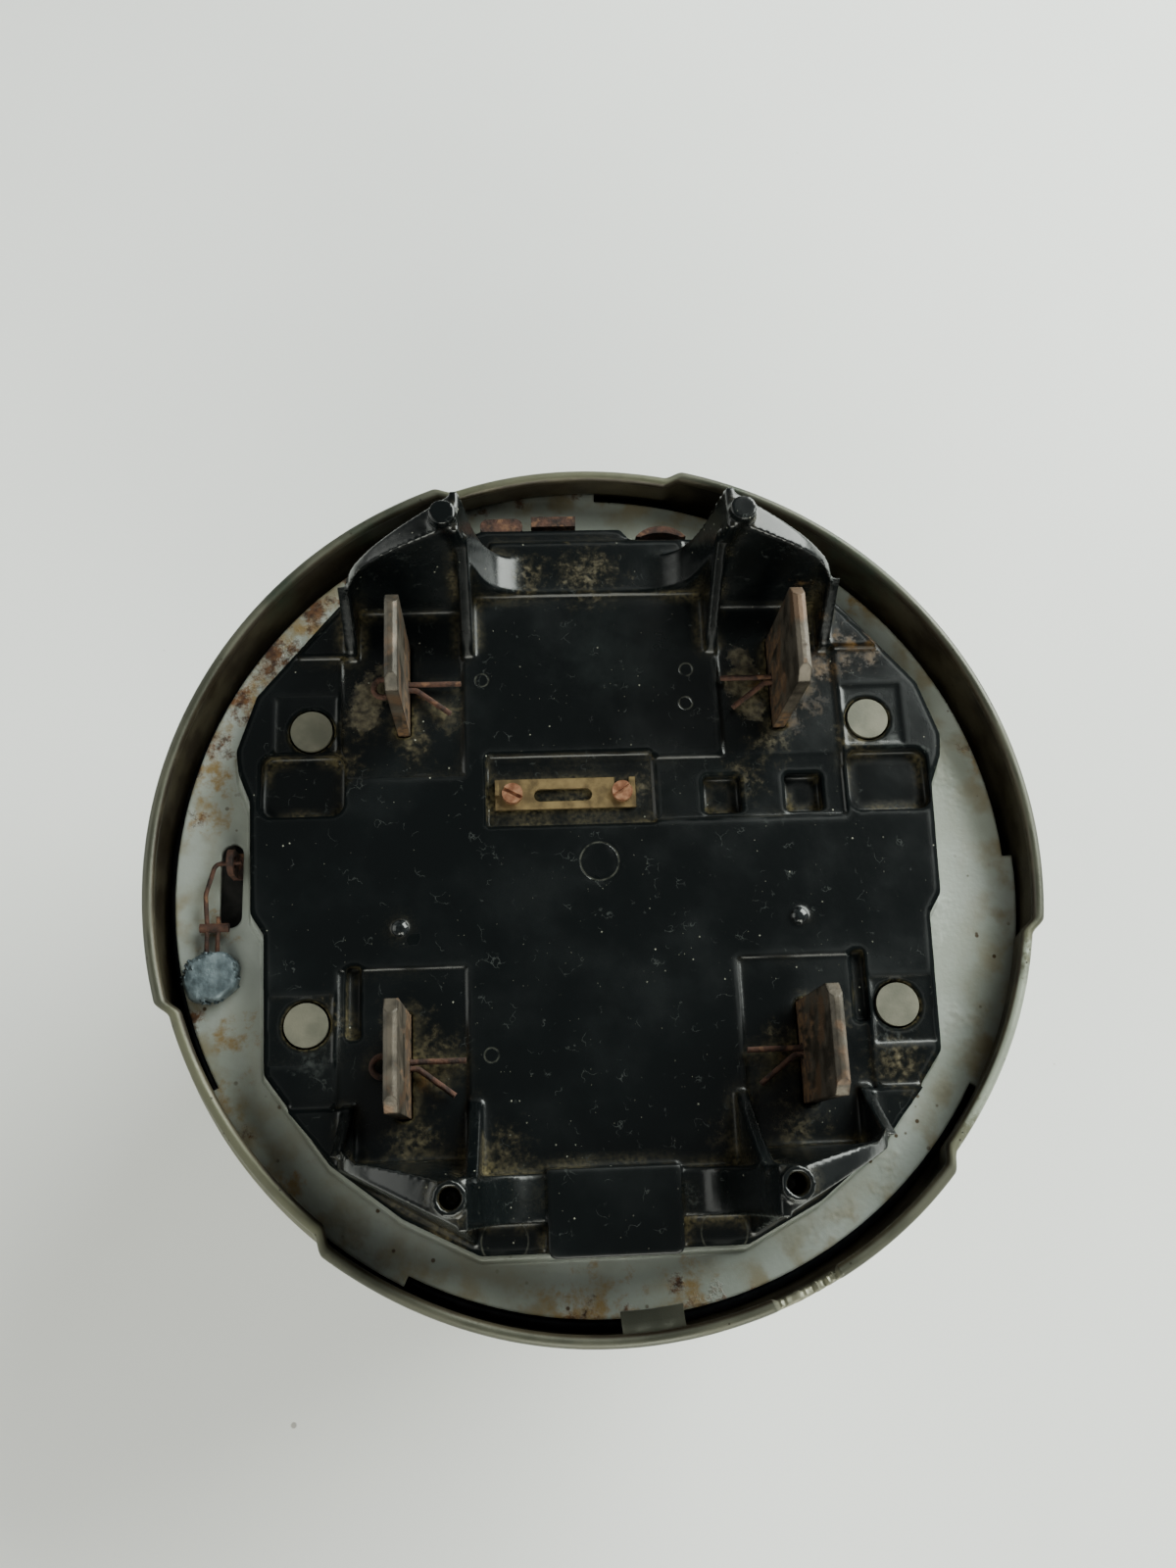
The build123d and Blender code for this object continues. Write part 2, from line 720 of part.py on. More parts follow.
with BuildPart() as seal_wire:
    # The bow through the hasp's eye, then one strand into the lead.
    with BuildLine() as bow:
        FilletPolyline(
            (hasp_x + 1.9, hasp_y, hasp_eye_height),
            (hasp_x - 3.2, hasp_y - 0.2, hasp_eye_height),
            (-77.4, -2.4, strand_level + 0.8),
            (strand_ends[0][0], crossbar_y, strand_level),
            (strand_ends[0][0], -17.6, strand_level),
            radius=[1.6, 3.0, 3.0],
        )
    with BuildSketch(Plane(bow.line @ 0, z_dir=bow.line % 0)):
        Circle(wire_radius)
    sweep(path=bow.line)
    # The second strand, held to the first by the crosspiece of wrapped wire.
    with BuildLine() as second:
        Line((strand_ends[1][0], crossbar_y + 2.2, strand_level),
             (strand_ends[1][0], -17.6, strand_level))
    with BuildSketch(Plane(second.line @ 0, z_dir=second.line % 0)):
        Circle(wire_radius)
    sweep(path=second.line)
    with BuildSketch(Plane.YZ.offset(-78.4)):
        with Locations((crossbar_y, strand_level)):
            Circle(0.9)
    extrude(amount=5.6)
seal_wire.part.label = "seal_wire"
export_step(seal_wire.part, "parts/seal_wire.step")


# ---------------------------------------------------------------------------------------------
# Die-cast frame inside the meter
# ---------------------------------------------------------------------------------------------

frame_back = 102.0
frame_plate = 4.0
spine_half = 16.0
arm_x = (54.0, 58.0)
arm_front = 24.0
bar_y = (12.0, 18.0)
bar_z = (35.2, 39.2)
post_spots = [(12, 50), (-12, 50), (12, -50), (-12, -50)]
core_bolt_spots = [(14, 39), (-14, 39), (14, -32), (-14, -32)]
core_z = (68.0, 86.0)
magnet_z = (40.0, 52.0)
adjuster_x = 43.0
adjuster_y = -17.0
bearing_radius = 3.5


def slab(x_span, y_span, z_span):
    """Plain block between three pairs of limits."""
    with BuildPart() as block:
        with BuildSketch(Plane.XY.offset(z_span[0])):
            with Locations(((x_span[0] + x_span[1]) / 2, (y_span[0] + y_span[1]) / 2)):
                Rectangle(x_span[1] - x_span[0], y_span[1] - y_span[0])
        extrude(amount=z_span[1] - z_span[0])
    return block.part


frame_plates = [
    slab((-spine_half, spine_half), (-54, 54), (frame_back - frame_plate, frame_back)),
    slab((-arm_x[1], arm_x[1]), (-9, 9), (frame_back - frame_plate, frame_back)),
    slab((-7, 7), (44, 50), (46, frame_back)),
    slab((-7, 7), (-50, -44), (46, frame_back)),
    slab((-arm_x[1], arm_x[1]), bar_y, bar_z),
]
for side in (1, -1):
    span = sorted((side * arm_x[0], side * arm_x[1]))
    frame_plates.append(slab(span, (-9, 9), (arm_front, frame_back)))
    frame_plates.append(slab(span, (-20, 20), (arm_front, 44)))
    frame_plates.append(slab(sorted((side * 49.8, side * 55)), (-7, 7), (42, 50)))
    frame_plates.append(slab(sorted((side * 38, side * 55)), (-20.5, -14.5), (29, 33)))

with BuildPart() as meter_frame:
    add(frame_plates)
    with BuildSketch(Plane.XY.offset(frame_back)):
        with Locations(*post_spots):
            Circle(3.8)
    extrude(amount=block_inside - frame_back)
    with BuildSketch(Plane.XY.offset(core_z[1])):
        with Locations(*core_bolt_spots):
            Circle(4.0)
    extrude(amount=frame_back - frame_plate - core_z[1])
    with BuildSketch(Plane.XY.offset(40)):
        with Locations(*post_spots):
            Circle(1.6 + running_gap)
    extrude(amount=80, mode=Mode.SUBTRACT)
    with BuildSketch(Plane.XY.offset(core_z[1] - 1)):
        with Locations(*core_bolt_spots):
            Circle(1.8 + running_gap)
    extrude(amount=10, mode=Mode.SUBTRACT)
    with BuildSketch(Plane.XY.offset(20)):
        with Locations((adjuster_x, adjuster_y), (-adjuster_x, adjuster_y)):
            Circle(1.8 + running_gap)
    extrude(amount=30, mode=Mode.SUBTRACT)
    with BuildSketch(Plane.XZ.offset(-60)):
        with Locations((0, rotor_z)):
            Circle(bearing_radius + 0.02)
    extrude(amount=120, mode=Mode.SUBTRACT)
meter_frame.part.label = "meter_frame"
export_step(meter_frame.part, "parts/meter_frame.step")


with BuildPart() as frame_screws:
    with BuildSketch(Plane.XY.offset(frame_back - frame_plate - 2.4)):
        with Locations(*post_spots):
            Circle(3.0)
    extrude(amount=2.35)
    with BuildSketch(Plane.XY.offset(frame_back - frame_plate - 0.5)):
        with Locations(*post_spots):
            Circle(1.6)
    extrude(amount=block_inside - frame_back + frame_plate + 0.4)
    with BuildSketch(Plane.XY.offset(frame_back - frame_plate - 2.4)):
        with Locations(*post_spots):
            Rectangle(7, 0.8)
    extrude(amount=0.9, mode=Mode.SUBTRACT)
frame_screws.part.label = "frame_screws"
export_step(frame_screws.part, "parts/frame_screws.step")


# ---------------------------------------------------------------------------------------------
# Electromagnet: voltage core and coil above the disc, current core and coils below it
# ---------------------------------------------------------------------------------------------

pole_gap = 3.0

with BuildPart() as voltage_core:
    with BuildSketch(Plane.XY.offset(core_z[0])):
        with Locations((0, 39)):
            Rectangle(52, 6)
        with Locations((0, (pole_gap + 39) / 2)):
            Rectangle(12, 39 - pole_gap)
        with Locations((22.5, 23), (-22.5, 23)):
            Rectangle(7, 30)
        with Locations((17, 10), (-17, 10)):
            Rectangle(14, 4)
        with Locations((14, 39), (-14, 39)):
            Circle(1.8 + running_gap, mode=Mode.SUBTRACT)
    extrude(amount=core_z[1] - core_z[0])
voltage_core.part.label = "voltage_core"
export_step(voltage_core.part, "parts/voltage_core.step")


with BuildPart() as current_core:
    with BuildSketch(Plane.XY.offset(core_z[0])):
        with Locations((0, -32)):
            Rectangle(40, 8)
        with Locations((14.5, -17.5), (-14.5, -17.5)):
            Rectangle(9, 29)
        with Locations((14, -32), (-14, -32)):
            Circle(1.8 + running_gap, mode=Mode.SUBTRACT)
    extrude(amount=core_z[1] - core_z[0])
current_core.part.label = "current_core"
export_step(current_core.part, "parts/current_core.step")


with BuildPart() as core_screws:
    with BuildSketch(Plane.XY.offset(core_z[0] - 2.6)):
        with Locations(*core_bolt_spots):
            Circle(3.4)
    extrude(amount=2.55)
    with BuildSketch(Plane.XY.offset(core_z[0] - 0.5)):
        with Locations(*core_bolt_spots):
            Circle(1.8)
    extrude(amount=26)
    with BuildSketch(Plane.XY.offset(core_z[0] - 2.6)):
        with Locations(*core_bolt_spots):
            Rectangle(8, 0.9)
    extrude(amount=1.0, mode=Mode.SUBTRACT)
core_screws.part.label = "core_screws"
export_step(core_screws.part, "parts/core_screws.step")


coil_mid_z = (core_z[0] + core_z[1]) / 2

with BuildPart() as voltage_coil:
    with BuildSketch(Plane.XZ.offset(-15.5)):
        with Locations((0, coil_mid_z)):
            RectangleRounded(34, 37, 7)
            Rectangle(12.6, 18.6, mode=Mode.SUBTRACT)
    extrude(amount=-19)
    coil_rims = voltage_coil.edges().filter_by(GeomType.LINE, reverse=True).group_by(Axis.Y)
    fillet(coil_rims[0] + coil_rims[-1], radius=1.5)
voltage_coil.part.label = "voltage_coil"
export_step(voltage_coil.part, "parts/voltage_coil.step")


turn_count = 4
turn_height = 4.4
coil_bottom = -26.0
leg_x = 14.5


def current_coil(side):
    """Four heavy turns round one leg of the current core, with strap leads to both blades."""
    leads = [
        slab(sorted((side * 24, side * 36.8)), (-26, -22), (82, 86)),
        slab(sorted((side * 34.3, side * 36.75)), (-34, -22), (82, 104)),
        slab(sorted((side * 24, side * 36.8)), (-12, -8.6), (88, 92)),
        slab(sorted((side * 34.3, side * 36.75)), (-12, 34), (88, 92)),
        slab(sorted((side * 34.3, side * 36.75)), (28, 34), (88, 104)),
    ]
    with BuildPart() as coil:
        for turn in range(turn_count):
            with BuildSketch(Plane.XZ.offset(-(coil_bottom + turn * turn_height))):
                with Locations((side * leg_x, coil_mid_z)):
                    RectangleRounded(22.4, 32, 5)
                    Rectangle(9.8, 18.8, mode=Mode.SUBTRACT)
            extrude(amount=-(turn_height - 0.5))
        with BuildSketch(Plane.XZ.offset(-coil_bottom)):
            with Locations((side * leg_x, coil_mid_z)):
                RectangleRounded(19.6, 29, 4)
                Rectangle(9.8, 18.8, mode=Mode.SUBTRACT)
        extrude(amount=-(turn_count * turn_height - 0.5))
        add(leads)
    return coil.part


current_coil_left = current_coil(-1)
current_coil_left.label = "current_coil_left"
export_step(current_coil_left, "parts/current_coil_left.step")
current_coil_right = current_coil(1)
current_coil_right.label = "current_coil_right"
export_step(current_coil_right, "parts/current_coil_right.step")


lead_radius = 0.9

with BuildPart() as voltage_leads:
    for side in (-1, 1):
        with BuildLine() as route:
            FilletPolyline(
                (side * 17.1, 27.0, 90.0),
                (side * 23.0, 27.0, 90.0),
                (side * 24.0, 22.0, 97.0),
                (side * 24.0, 18.0, 105.4),
                radius=[2.6, 3.0],
            )
        with BuildSketch(Plane(route.line @ 0, z_dir=route.line % 0)):
            Circle(lead_radius)
        sweep(path=route.line)
voltage_leads.part.label = "voltage_leads"
export_step(voltage_leads.part, "parts/voltage_leads.step")


# ---------------------------------------------------------------------------------------------
# Rotor, its bearings, braking magnets and adjusters
# ---------------------------------------------------------------------------------------------

shaft_radius = 1.5
worm_y = 22.0
worm_radius = 2.15
worm_pitch = 0.94

with BuildPart() as rotor_shaft:
    with BuildSketch(Plane.XZ.offset(36.4)):
        with Locations((0, rotor_z)):
            Circle(shaft_radius)
    extrude(amount=-72.8)
    with BuildSketch(Plane.XZ.offset(39.4)):
        with Locations((0, rotor_z)):
            Circle(1.0)
    extrude(amount=-4)
    with BuildSketch(Plane.XZ.offset(-36)):
        with Locations((0, rotor_z)):
            Circle(0.6)
    extrude(amount=-6)
    for ridge in range(12):
        with BuildSketch(Plane.XZ.offset(-(worm_y - 5.5 + ridge * worm_pitch))):
            with Locations((0, rotor_z)):
                Circle(worm_radius)
        extrude(amount=-0.45)
    with BuildSketch(Plane.XZ.offset(6)):
        with Locations((0, rotor_z)):
            Circle(3.2)
    extrude(amount=-5.4)
rotor_shaft.part.label = "rotor_shaft"
export_step(rotor_shaft.part, "parts/rotor_shaft.step")


with BuildPart() as rotor_disc:
    with BuildSketch(Plane.XZ.offset(0.6)):
        with Locations((0, rotor_z)):
            Circle(disc_radius)
            Circle(shaft_radius, mode=Mode.SUBTRACT)
        with Locations((0, rotor_z)):
            with PolarLocations(33, 2):
                Circle(1.6, mode=Mode.SUBTRACT)
    extrude(amount=-1.2)
rotor_disc.part.label = "rotor_disc"
export_step(rotor_disc.part, "parts/rotor_disc.step")


with BuildPart() as upper_bearing:
    with BuildSketch(Plane.XZ.offset(-39.5)):
        with Locations((0, rotor_z)):
            Circle(bearing_radius)
            Circle(0.6 + 0.06, mode=Mode.SUBTRACT)
    extrude(amount=-3)
    with BuildSketch(Plane.XZ.offset(-42.5)):
        with Locations((0, rotor_z)):
            Circle(bearing_radius)
    extrude(amount=-11)
    with BuildSketch(Plane.XZ.offset(-52.3)):
        with Locations((0, rotor_z)):
            Rectangle(8, 1.0)
    extrude(amount=-1.2, mode=Mode.SUBTRACT)
upper_bearing.part.label = "upper_bearing"
export_step(upper_bearing.part, "parts/upper_bearing.step")


with BuildPart() as lower_bearing:
    with BuildSketch(Plane.XZ.offset(37)):
        with Locations((0, rotor_z)):
            Circle(bearing_radius)
            Circle(1.0 + 0.05, mode=Mode.SUBTRACT)
    extrude(amount=2.6)
    with BuildSketch(Plane.XZ.offset(39.6)):
        with Locations((0, rotor_z)):
            Circle(bearing_radius)
    extrude(amount=13.4)
    with BuildSketch(Plane.XZ.offset(51.8)):
        with Locations((0, rotor_z)):
            Rectangle(8, 1.0)
    extrude(amount=1.2, mode=Mode.SUBTRACT)
lower_bearing.part.label = "lower_bearing"
export_step(lower_bearing.part, "parts/lower_bearing.step")


magnet_names = {-1: "brake_magnet_left", 1: "brake_magnet_right"}
magnet_slot = 2.6

for side, magnet_name in magnet_names.items():
    with BuildPart() as brake_magnet:
        with BuildSketch(Plane.XY.offset(magnet_z[0])):
            with Locations((side * 38.6, 0)):
                RectangleRounded(22, 26, 4)
            with Locations((side * 35.2, 0)):
                Rectangle(16.8, 2 * magnet_slot, mode=Mode.SUBTRACT)
        extrude(amount=magnet_z[1] - magnet_z[0])
    brake_magnet.part.label = magnet_name
    export_step(brake_magnet.part, "parts/" + magnet_name + ".step")


adjuster_names = {1: "full_load_screw", -1: "light_load_screw"}

for side, adjuster_name in adjuster_names.items():
    with BuildPart() as adjuster:
        with BuildSketch(Plane.XY.offset(18.5)):
            with Locations((side * adjuster_x, adjuster_y)):
                Circle(3.0)
        extrude(amount=3.0)
        with BuildSketch(Plane.XY.offset(21.5)):
            with Locations((side * adjuster_x, adjuster_y)):
                Circle(1.8)
        extrude(amount=21.5)
        with BuildSketch(Plane.XY.offset(18.5)):
            with Locations((side * adjuster_x, adjuster_y)):
                Rectangle(7, 0.9)
        extrude(amount=1.1, mode=Mode.SUBTRACT)
    adjuster.part.label = adjuster_name
    export_step(adjuster.part, "parts/" + adjuster_name + ".step")


# ---------------------------------------------------------------------------------------------
# Register: worm wheel, transfer arbor, four pointer arbors and the plates that carry them
# ---------------------------------------------------------------------------------------------

front_plate_z = 18.0
back_plate_z = 33.0
rear_plate_z = 44.0
plate_sheet = 1.2
plate_half = (46.5, 18.5)
plate_y = 28.0
arbor_radius = 0.8
gear_sheet = 1.0
pinion_teeth = 12
worm_wheel_spot = (-17.45, worm_y)
dial_x = [-1.5 * dial_pitch, -0.5 * dial_pitch, 0.5 * dial_pitch, 1.5 * dial_pitch]
pointer_spots = [(x, plate_y) for x in dial_x]
first_mesh = 9.1
second_mesh = 8.4


def meeting_point(first, first_reach, second, second_reach):
    """Point at a stated distance from each of two points, on the upper side of them."""
    apart = math.hypot(second[0] - first[0], second[1] - first[1])
    way = ((second[0] - first[0]) / apart, (second[1] - first[1]) / apart)
    along = (first_reach ** 2 - second_reach ** 2 + apart ** 2) / (2 * apart)
    rise = math.sqrt(first_reach ** 2 - along ** 2)
    return (
        first[0] + along * way[0] + rise * way[1],
        first[1] + along * way[1] - rise * way[0],
    )


transfer_spot = meeting_point(worm_wheel_spot, first_mesh, pointer_spots[0], second_mesh)


def toothed_wheel(spot, height, teeth, tip_radius, tooth_depth):
    """Flat wheel with straight-sided teeth whose tips lie on a circle."""
    points = []
    for tooth in range(teeth):
        for share, radius in ((0.0, tip_radius), (0.28, tip_radius),
                              (0.5, tip_radius - tooth_depth), (0.78, tip_radius - tooth_depth)):
            turn = 2 * math.pi * (tooth + share) / teeth
            points.append((spot[0] + radius * math.cos(turn), spot[1] + radius * math.sin(turn)))
    with BuildPart() as wheel:
        with BuildSketch(Plane.XY.offset(height)):
            Polygon(*points, align=None)
        extrude(amount=gear_sheet)
    return wheel.part


def tip_radii(distance, teeth_a, teeth_b):
    """Tip circles of two wheels that stand 0.1 mm apart at a stated centre distance."""
    total = teeth_a + teeth_b
    return distance * teeth_a / total - 0.05, distance * teeth_b / total - 0.05


def arbor(spot, low, high, wheels):
    """Steel arbor with its wheels and pinions."""
    with BuildPart() as spindle:
        with BuildSketch(Plane.XY.offset(low)):
            with Locations(spot):
                Circle(arbor_radius)
        extrude(amount=high - low)
        add(wheels)
    return spindle.part


first_pinion_tip, transfer_tip = tip_radii(first_mesh, pinion_teeth, 50)
second_pinion_tip, units_tip = tip_radii(second_mesh, pinion_teeth, 40)
decade_pinion_tip, decade_tip = tip_radii(dial_pitch, pinion_teeth, 120)
first_level = 40.0
second_level = 36.8
decade_levels = [29.0, 26.0, 23.0]

worm_wheel = arbor(
    worm_wheel_spot,
    rear_plate_z - 5.0,
    53.4,
    [
        toothed_wheel(worm_wheel_spot, rotor_z - 0.5, 100, 15.2, 0.7),
        toothed_wheel(worm_wheel_spot, first_level, pinion_teeth, first_pinion_tip, 0.5),
    ],
)
worm_wheel.label = "worm_wheel"
export_step(worm_wheel, "parts/worm_wheel.step")

transfer_arbor = arbor(
    transfer_spot,
    back_plate_z + 0.2,
    rear_plate_z + plate_sheet + 0.4,
    [
        toothed_wheel(transfer_spot, first_level, 50, transfer_tip, 0.5),
        toothed_wheel(transfer_spot, second_level, pinion_teeth, second_pinion_tip, 0.5),
    ],
)
transfer_arbor.label = "transfer_arbor"
export_step(transfer_arbor, "parts/transfer_arbor.step")

for index, spot in enumerate(pointer_spots):
    wheels = []
    if index == 0:
        wheels.append(toothed_wheel(spot, second_level, 40, units_tip, 0.5))
    else:
        wheels.append(toothed_wheel(spot, decade_levels[index - 1], 120, decade_tip, 0.6))
    if index < 3:
        wheels.append(
            toothed_wheel(spot, decade_levels[index], pinion_teeth, decade_pinion_tip, 0.5))
    top = second_level + gear_sheet + 0.4 if index == 0 else back_plate_z + plate_sheet + 0.3
    pointer_arbor = arbor(spot, 14.6, top, wheels)
    arbor_name = "pointer_arbor_" + str(index + 1)
    pointer_arbor.label = arbor_name
    export_step(pointer_arbor, "parts/" + arbor_name + ".step")
    with BuildPart() as pointer:
        with BuildSketch(Plane.XY.offset(14.6)):
            Polygon(
                (spot[0] - 0.9, spot[1] - 2.2),
                (spot[0] + 0.9, spot[1] - 2.2),
                (spot[0] + 0.7, spot[1] + 2.0),
                (spot[0], spot[1] + 6.6),
                (spot[0] - 0.7, spot[1] + 2.0),
                align=None,
            )
        extrude(amount=0.5)
        with BuildSketch(Plane.XY.offset(14.6)):
            with Locations(spot):
                Circle(1.7)
        extrude(amount=1.4)
        with BuildSketch(Plane.XY.offset(14)):
            with Locations(spot):
                Circle(arbor_radius)
        extrude(amount=3, mode=Mode.SUBTRACT)
    pointer_name = "pointer_" + str(index + 1)
    pointer.part.label = pointer_name
    export_step(pointer.part, "parts/" + pointer_name + ".step")


pillar_spots = [(sx * 42.5, plate_y + sy * 15.0) for sx, sy in corners]
rear_pillar_spots = [(-38.0, 21.5), (-8.0, 38.0)]
dial_plate_z = 17.0
dial_plate_sheet = 0.9

with BuildPart() as register_front_plate:
    with BuildSketch(Plane.XY.offset(front_plate_z)):
        with Locations((0, plate_y)):
            RectangleRounded(2 * plate_half[0], 2 * plate_half[1], 5)
        with Locations(*pointer_spots):
            Circle(arbor_radius + running_gap, mode=Mode.SUBTRACT)
        with Locations(*pillar_spots):
            Circle(1.0 + running_gap, mode=Mode.SUBTRACT)
    extrude(amount=plate_sheet)
register_front_plate.part.label = "register_front_plate"
export_step(register_front_plate.part, "parts/register_front_plate.step")


with BuildPart() as register_back_plate:
    with BuildSketch(Plane.XY.offset(back_plate_z)):
        with Locations((0, plate_y)):
            RectangleRounded(2 * plate_half[0], 2 * plate_half[1], 5)
        with Locations((0, 14.5)):
            Rectangle(104, 6)
        with Locations(*pointer_spots):
            Circle(arbor_radius + running_gap, mode=Mode.SUBTRACT)
        with Locations(transfer_spot):
            Circle(arbor_radius + running_gap, mode=Mode.SUBTRACT)
        with Locations(*pillar_spots):
            Circle(1.0 + running_gap, mode=Mode.SUBTRACT)
        with Locations(*rear_pillar_spots):
            Circle(1.0 + running_gap, mode=Mode.SUBTRACT)
        with Locations((49.5, 14.5), (-49.5, 14.5)):
            Circle(1.2 + running_gap, mode=Mode.SUBTRACT)
    extrude(amount=plate_sheet)
register_back_plate.part.label = "register_back_plate"
export_step(register_back_plate.part, "parts/register_back_plate.step")


with BuildPart() as register_rear_plate:
    with BuildSketch(Plane.XY.offset(rear_plate_z)):
        Polygon(
            (-42.0, 18.0),
            (-12.0, 18.0),
            (-4.0, 36.0),
            (-6.0, 42.0),
            (-20.0, 42.0),
            (-42.0, 25.0),
            align=None,
        )
        with Locations(worm_wheel_spot, transfer_spot):
            Circle(arbor_radius + running_gap, mode=Mode.SUBTRACT)
        with Locations(*rear_pillar_spots):
            Circle(1.0 + running_gap, mode=Mode.SUBTRACT)
    extrude(amount=plate_sheet)
register_rear_plate.part.label = "register_rear_plate"
export_step(register_rear_plate.part, "parts/register_rear_plate.step")


with BuildPart() as register_pillars:
    with BuildSketch(Plane.XY.offset(front_plate_z + plate_sheet)):
        with Locations(*pillar_spots):
            Circle(2.0)
    extrude(amount=back_plate_z - front_plate_z - plate_sheet)
    with BuildSketch(Plane.XY.offset(front_plate_z + 0.1)):
        with Locations(*pillar_spots):
            Circle(1.0)
    extrude(amount=back_plate_z + plate_sheet - front_plate_z)
    with BuildSketch(Plane.XY.offset(back_plate_z + plate_sheet)):
        with Locations(*rear_pillar_spots):
            Circle(2.0)
    extrude(amount=rear_plate_z - back_plate_z - plate_sheet)
    with BuildSketch(Plane.XY.offset(back_plate_z + 0.1)):
        with Locations(*rear_pillar_spots):
            Circle(1.0)
    extrude(amount=rear_plate_z + plate_sheet - back_plate_z)
register_pillars.part.label = "register_pillars"
export_step(register_pillars.part, "parts/register_pillars.step")


with BuildPart() as register_screws:
    with BuildSketch(Plane.XY.offset(back_plate_z - 2.0)):
        with Locations((49.5, 14.5), (-49.5, 14.5)):
            Circle(2.4)
    extrude(amount=1.95)
    with BuildSketch(Plane.XY.offset(back_plate_z - 0.5)):
        with Locations((49.5, 14.5), (-49.5, 14.5)):
            Circle(1.2)
    extrude(amount=2.6)
    with BuildSketch(Plane.XY.offset(back_plate_z - 2.0)):
        with Locations((49.5, 14.5), (-49.5, 14.5)):
            Rectangle(6, 0.7)
    extrude(amount=0.8, mode=Mode.SUBTRACT)
register_screws.part.label = "register_screws"
export_step(register_screws.part, "parts/register_screws.step")


with BuildPart() as dial_plate:
    with BuildSketch(Plane.XY.offset(dial_plate_z)):
        with Locations((0, plate_y)):
            RectangleRounded(2 * plate_half[0], 2 * plate_half[1], 5)
        with Locations(*pointer_spots):
            Circle(1.3, mode=Mode.SUBTRACT)
    extrude(amount=dial_plate_sheet)
dial_plate.part.label = "dial_plate"
export_step(dial_plate.part, "parts/dial_plate.step")


nameplate_spots = [(56.0, -12.0), (-56.0, -12.0)]

with BuildPart() as nameplate:
    with BuildSketch(Plane.XY.offset(arm_front - 1.1)):
        Polygon(
            (-58, -6),
            (58, -6),
            (58, -18),
            (40, -46),
            (-40, -46),
            (-58, -18),
            align=None,
        )
        with Locations((adjuster_x, adjuster_y), (-adjuster_x, adjuster_y)):
            Circle(3.6, mode=Mode.SUBTRACT)
        with Locations(*nameplate_spots):
            Circle(1.2 + running_gap, mode=Mode.SUBTRACT)
    extrude(amount=1.0)
nameplate.part.label = "nameplate"
export_step(nameplate.part, "parts/nameplate.step")


with BuildPart() as nameplate_screws:
    with BuildSketch(Plane.XY.offset(arm_front - 2.7)):
        with Locations(*nameplate_spots):
            Circle(1.9)
    extrude(amount=1.55)
    with BuildSketch(Plane.XY.offset(arm_front - 1.5)):
        with Locations(*nameplate_spots):
            Circle(1.2)
    extrude(amount=1.45)
nameplate_screws.part.label = "nameplate_screws"
export_step(nameplate_screws.part, "parts/nameplate_screws.step")
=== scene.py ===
import math

import bmesh
import bpy
from mathutils import Euler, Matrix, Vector, noise
from mathutils.bvhtree import BVHTree


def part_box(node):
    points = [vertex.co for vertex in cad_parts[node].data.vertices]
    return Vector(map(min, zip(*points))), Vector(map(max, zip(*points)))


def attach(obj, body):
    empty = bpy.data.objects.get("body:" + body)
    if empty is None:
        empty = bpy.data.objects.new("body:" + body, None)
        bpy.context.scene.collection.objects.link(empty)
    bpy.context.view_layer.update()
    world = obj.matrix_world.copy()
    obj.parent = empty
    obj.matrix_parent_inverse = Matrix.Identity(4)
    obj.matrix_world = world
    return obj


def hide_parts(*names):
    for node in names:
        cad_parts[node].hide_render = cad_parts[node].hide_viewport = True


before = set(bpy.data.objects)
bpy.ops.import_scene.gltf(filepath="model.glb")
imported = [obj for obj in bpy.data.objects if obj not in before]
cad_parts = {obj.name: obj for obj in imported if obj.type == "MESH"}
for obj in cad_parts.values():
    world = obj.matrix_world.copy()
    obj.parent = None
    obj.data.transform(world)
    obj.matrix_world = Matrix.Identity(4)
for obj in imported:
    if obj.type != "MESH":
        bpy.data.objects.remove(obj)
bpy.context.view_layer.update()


# ----------------------------------------------------------------------------
# Camera. A phone held a forearm's length above the meter, tipped a little towards its top,
# with the whole rim in the lower two thirds of an upright picture.

camera_place = (-0.0159, -0.0573, 0.3774)
camera_turn = (16.354, -2.581, -2.327)
camera_lens = 30.4
camera_chip = 36.0

camera_data = bpy.data.cameras.new("phone_camera")
camera_data.lens = camera_lens
camera_data.sensor_width = camera_chip
camera_data.clip_start = 0.01
camera = bpy.data.objects.new("phone_camera", camera_data)
camera.location = camera_place
camera.rotation_euler = Euler([math.radians(turn) for turn in camera_turn])
bpy.context.collection.objects.link(camera)
bpy.context.scene.camera = camera


# ----------------------------------------------------------------------------
# Paper sweep and studio light. A pale sheet of matt paper under the meter, and soft boxes round
# it that leave the ceiling above the lens dark, so that the black moulding stays black.

def linear(hex_colour):
    """The linear RGBA of an sRGB hex colour."""
    channels = [int(hex_colour[start:start + 2], 16) / 255 for start in (1, 3, 5)]
    low = [channel / 12.92 for channel in channels]
    high = [((channel + 0.055) / 1.055) ** 2.4 for channel in channels]
    picked = [a if c <= 0.04045 else b for a, b, c in zip(low, high, channels)]
    return (*picked, 1.0)


def add(tree, kind, sockets, **settings):
    """One shader node. Settings are its properties; a socket takes a value, a hex colour, another
    node's output, or a node, which stands for its first output."""
    made = tree.nodes.new("ShaderNode" + kind)
    for name, value in settings.items():
        setattr(made, name, value)
    for name, value in sockets.items():
        if isinstance(value, str):
            value = linear(value)
        if isinstance(value, bpy.types.Node):
            value = value.outputs[0]
        if isinstance(value, bpy.types.NodeSocket):
            tree.links.new(value, made.inputs[name])
        else:
            made.inputs[name].default_value = value
    return made


def new_finish(name):
    """An empty material, its tree, and the place on the piece that its patterns start from."""
    material = bpy.data.materials.new(name)
    material.use_nodes = True
    material.node_tree.nodes.clear()
    place = add(material.node_tree, "TexCoord", {}).outputs["Object"]
    return material, material.node_tree, place


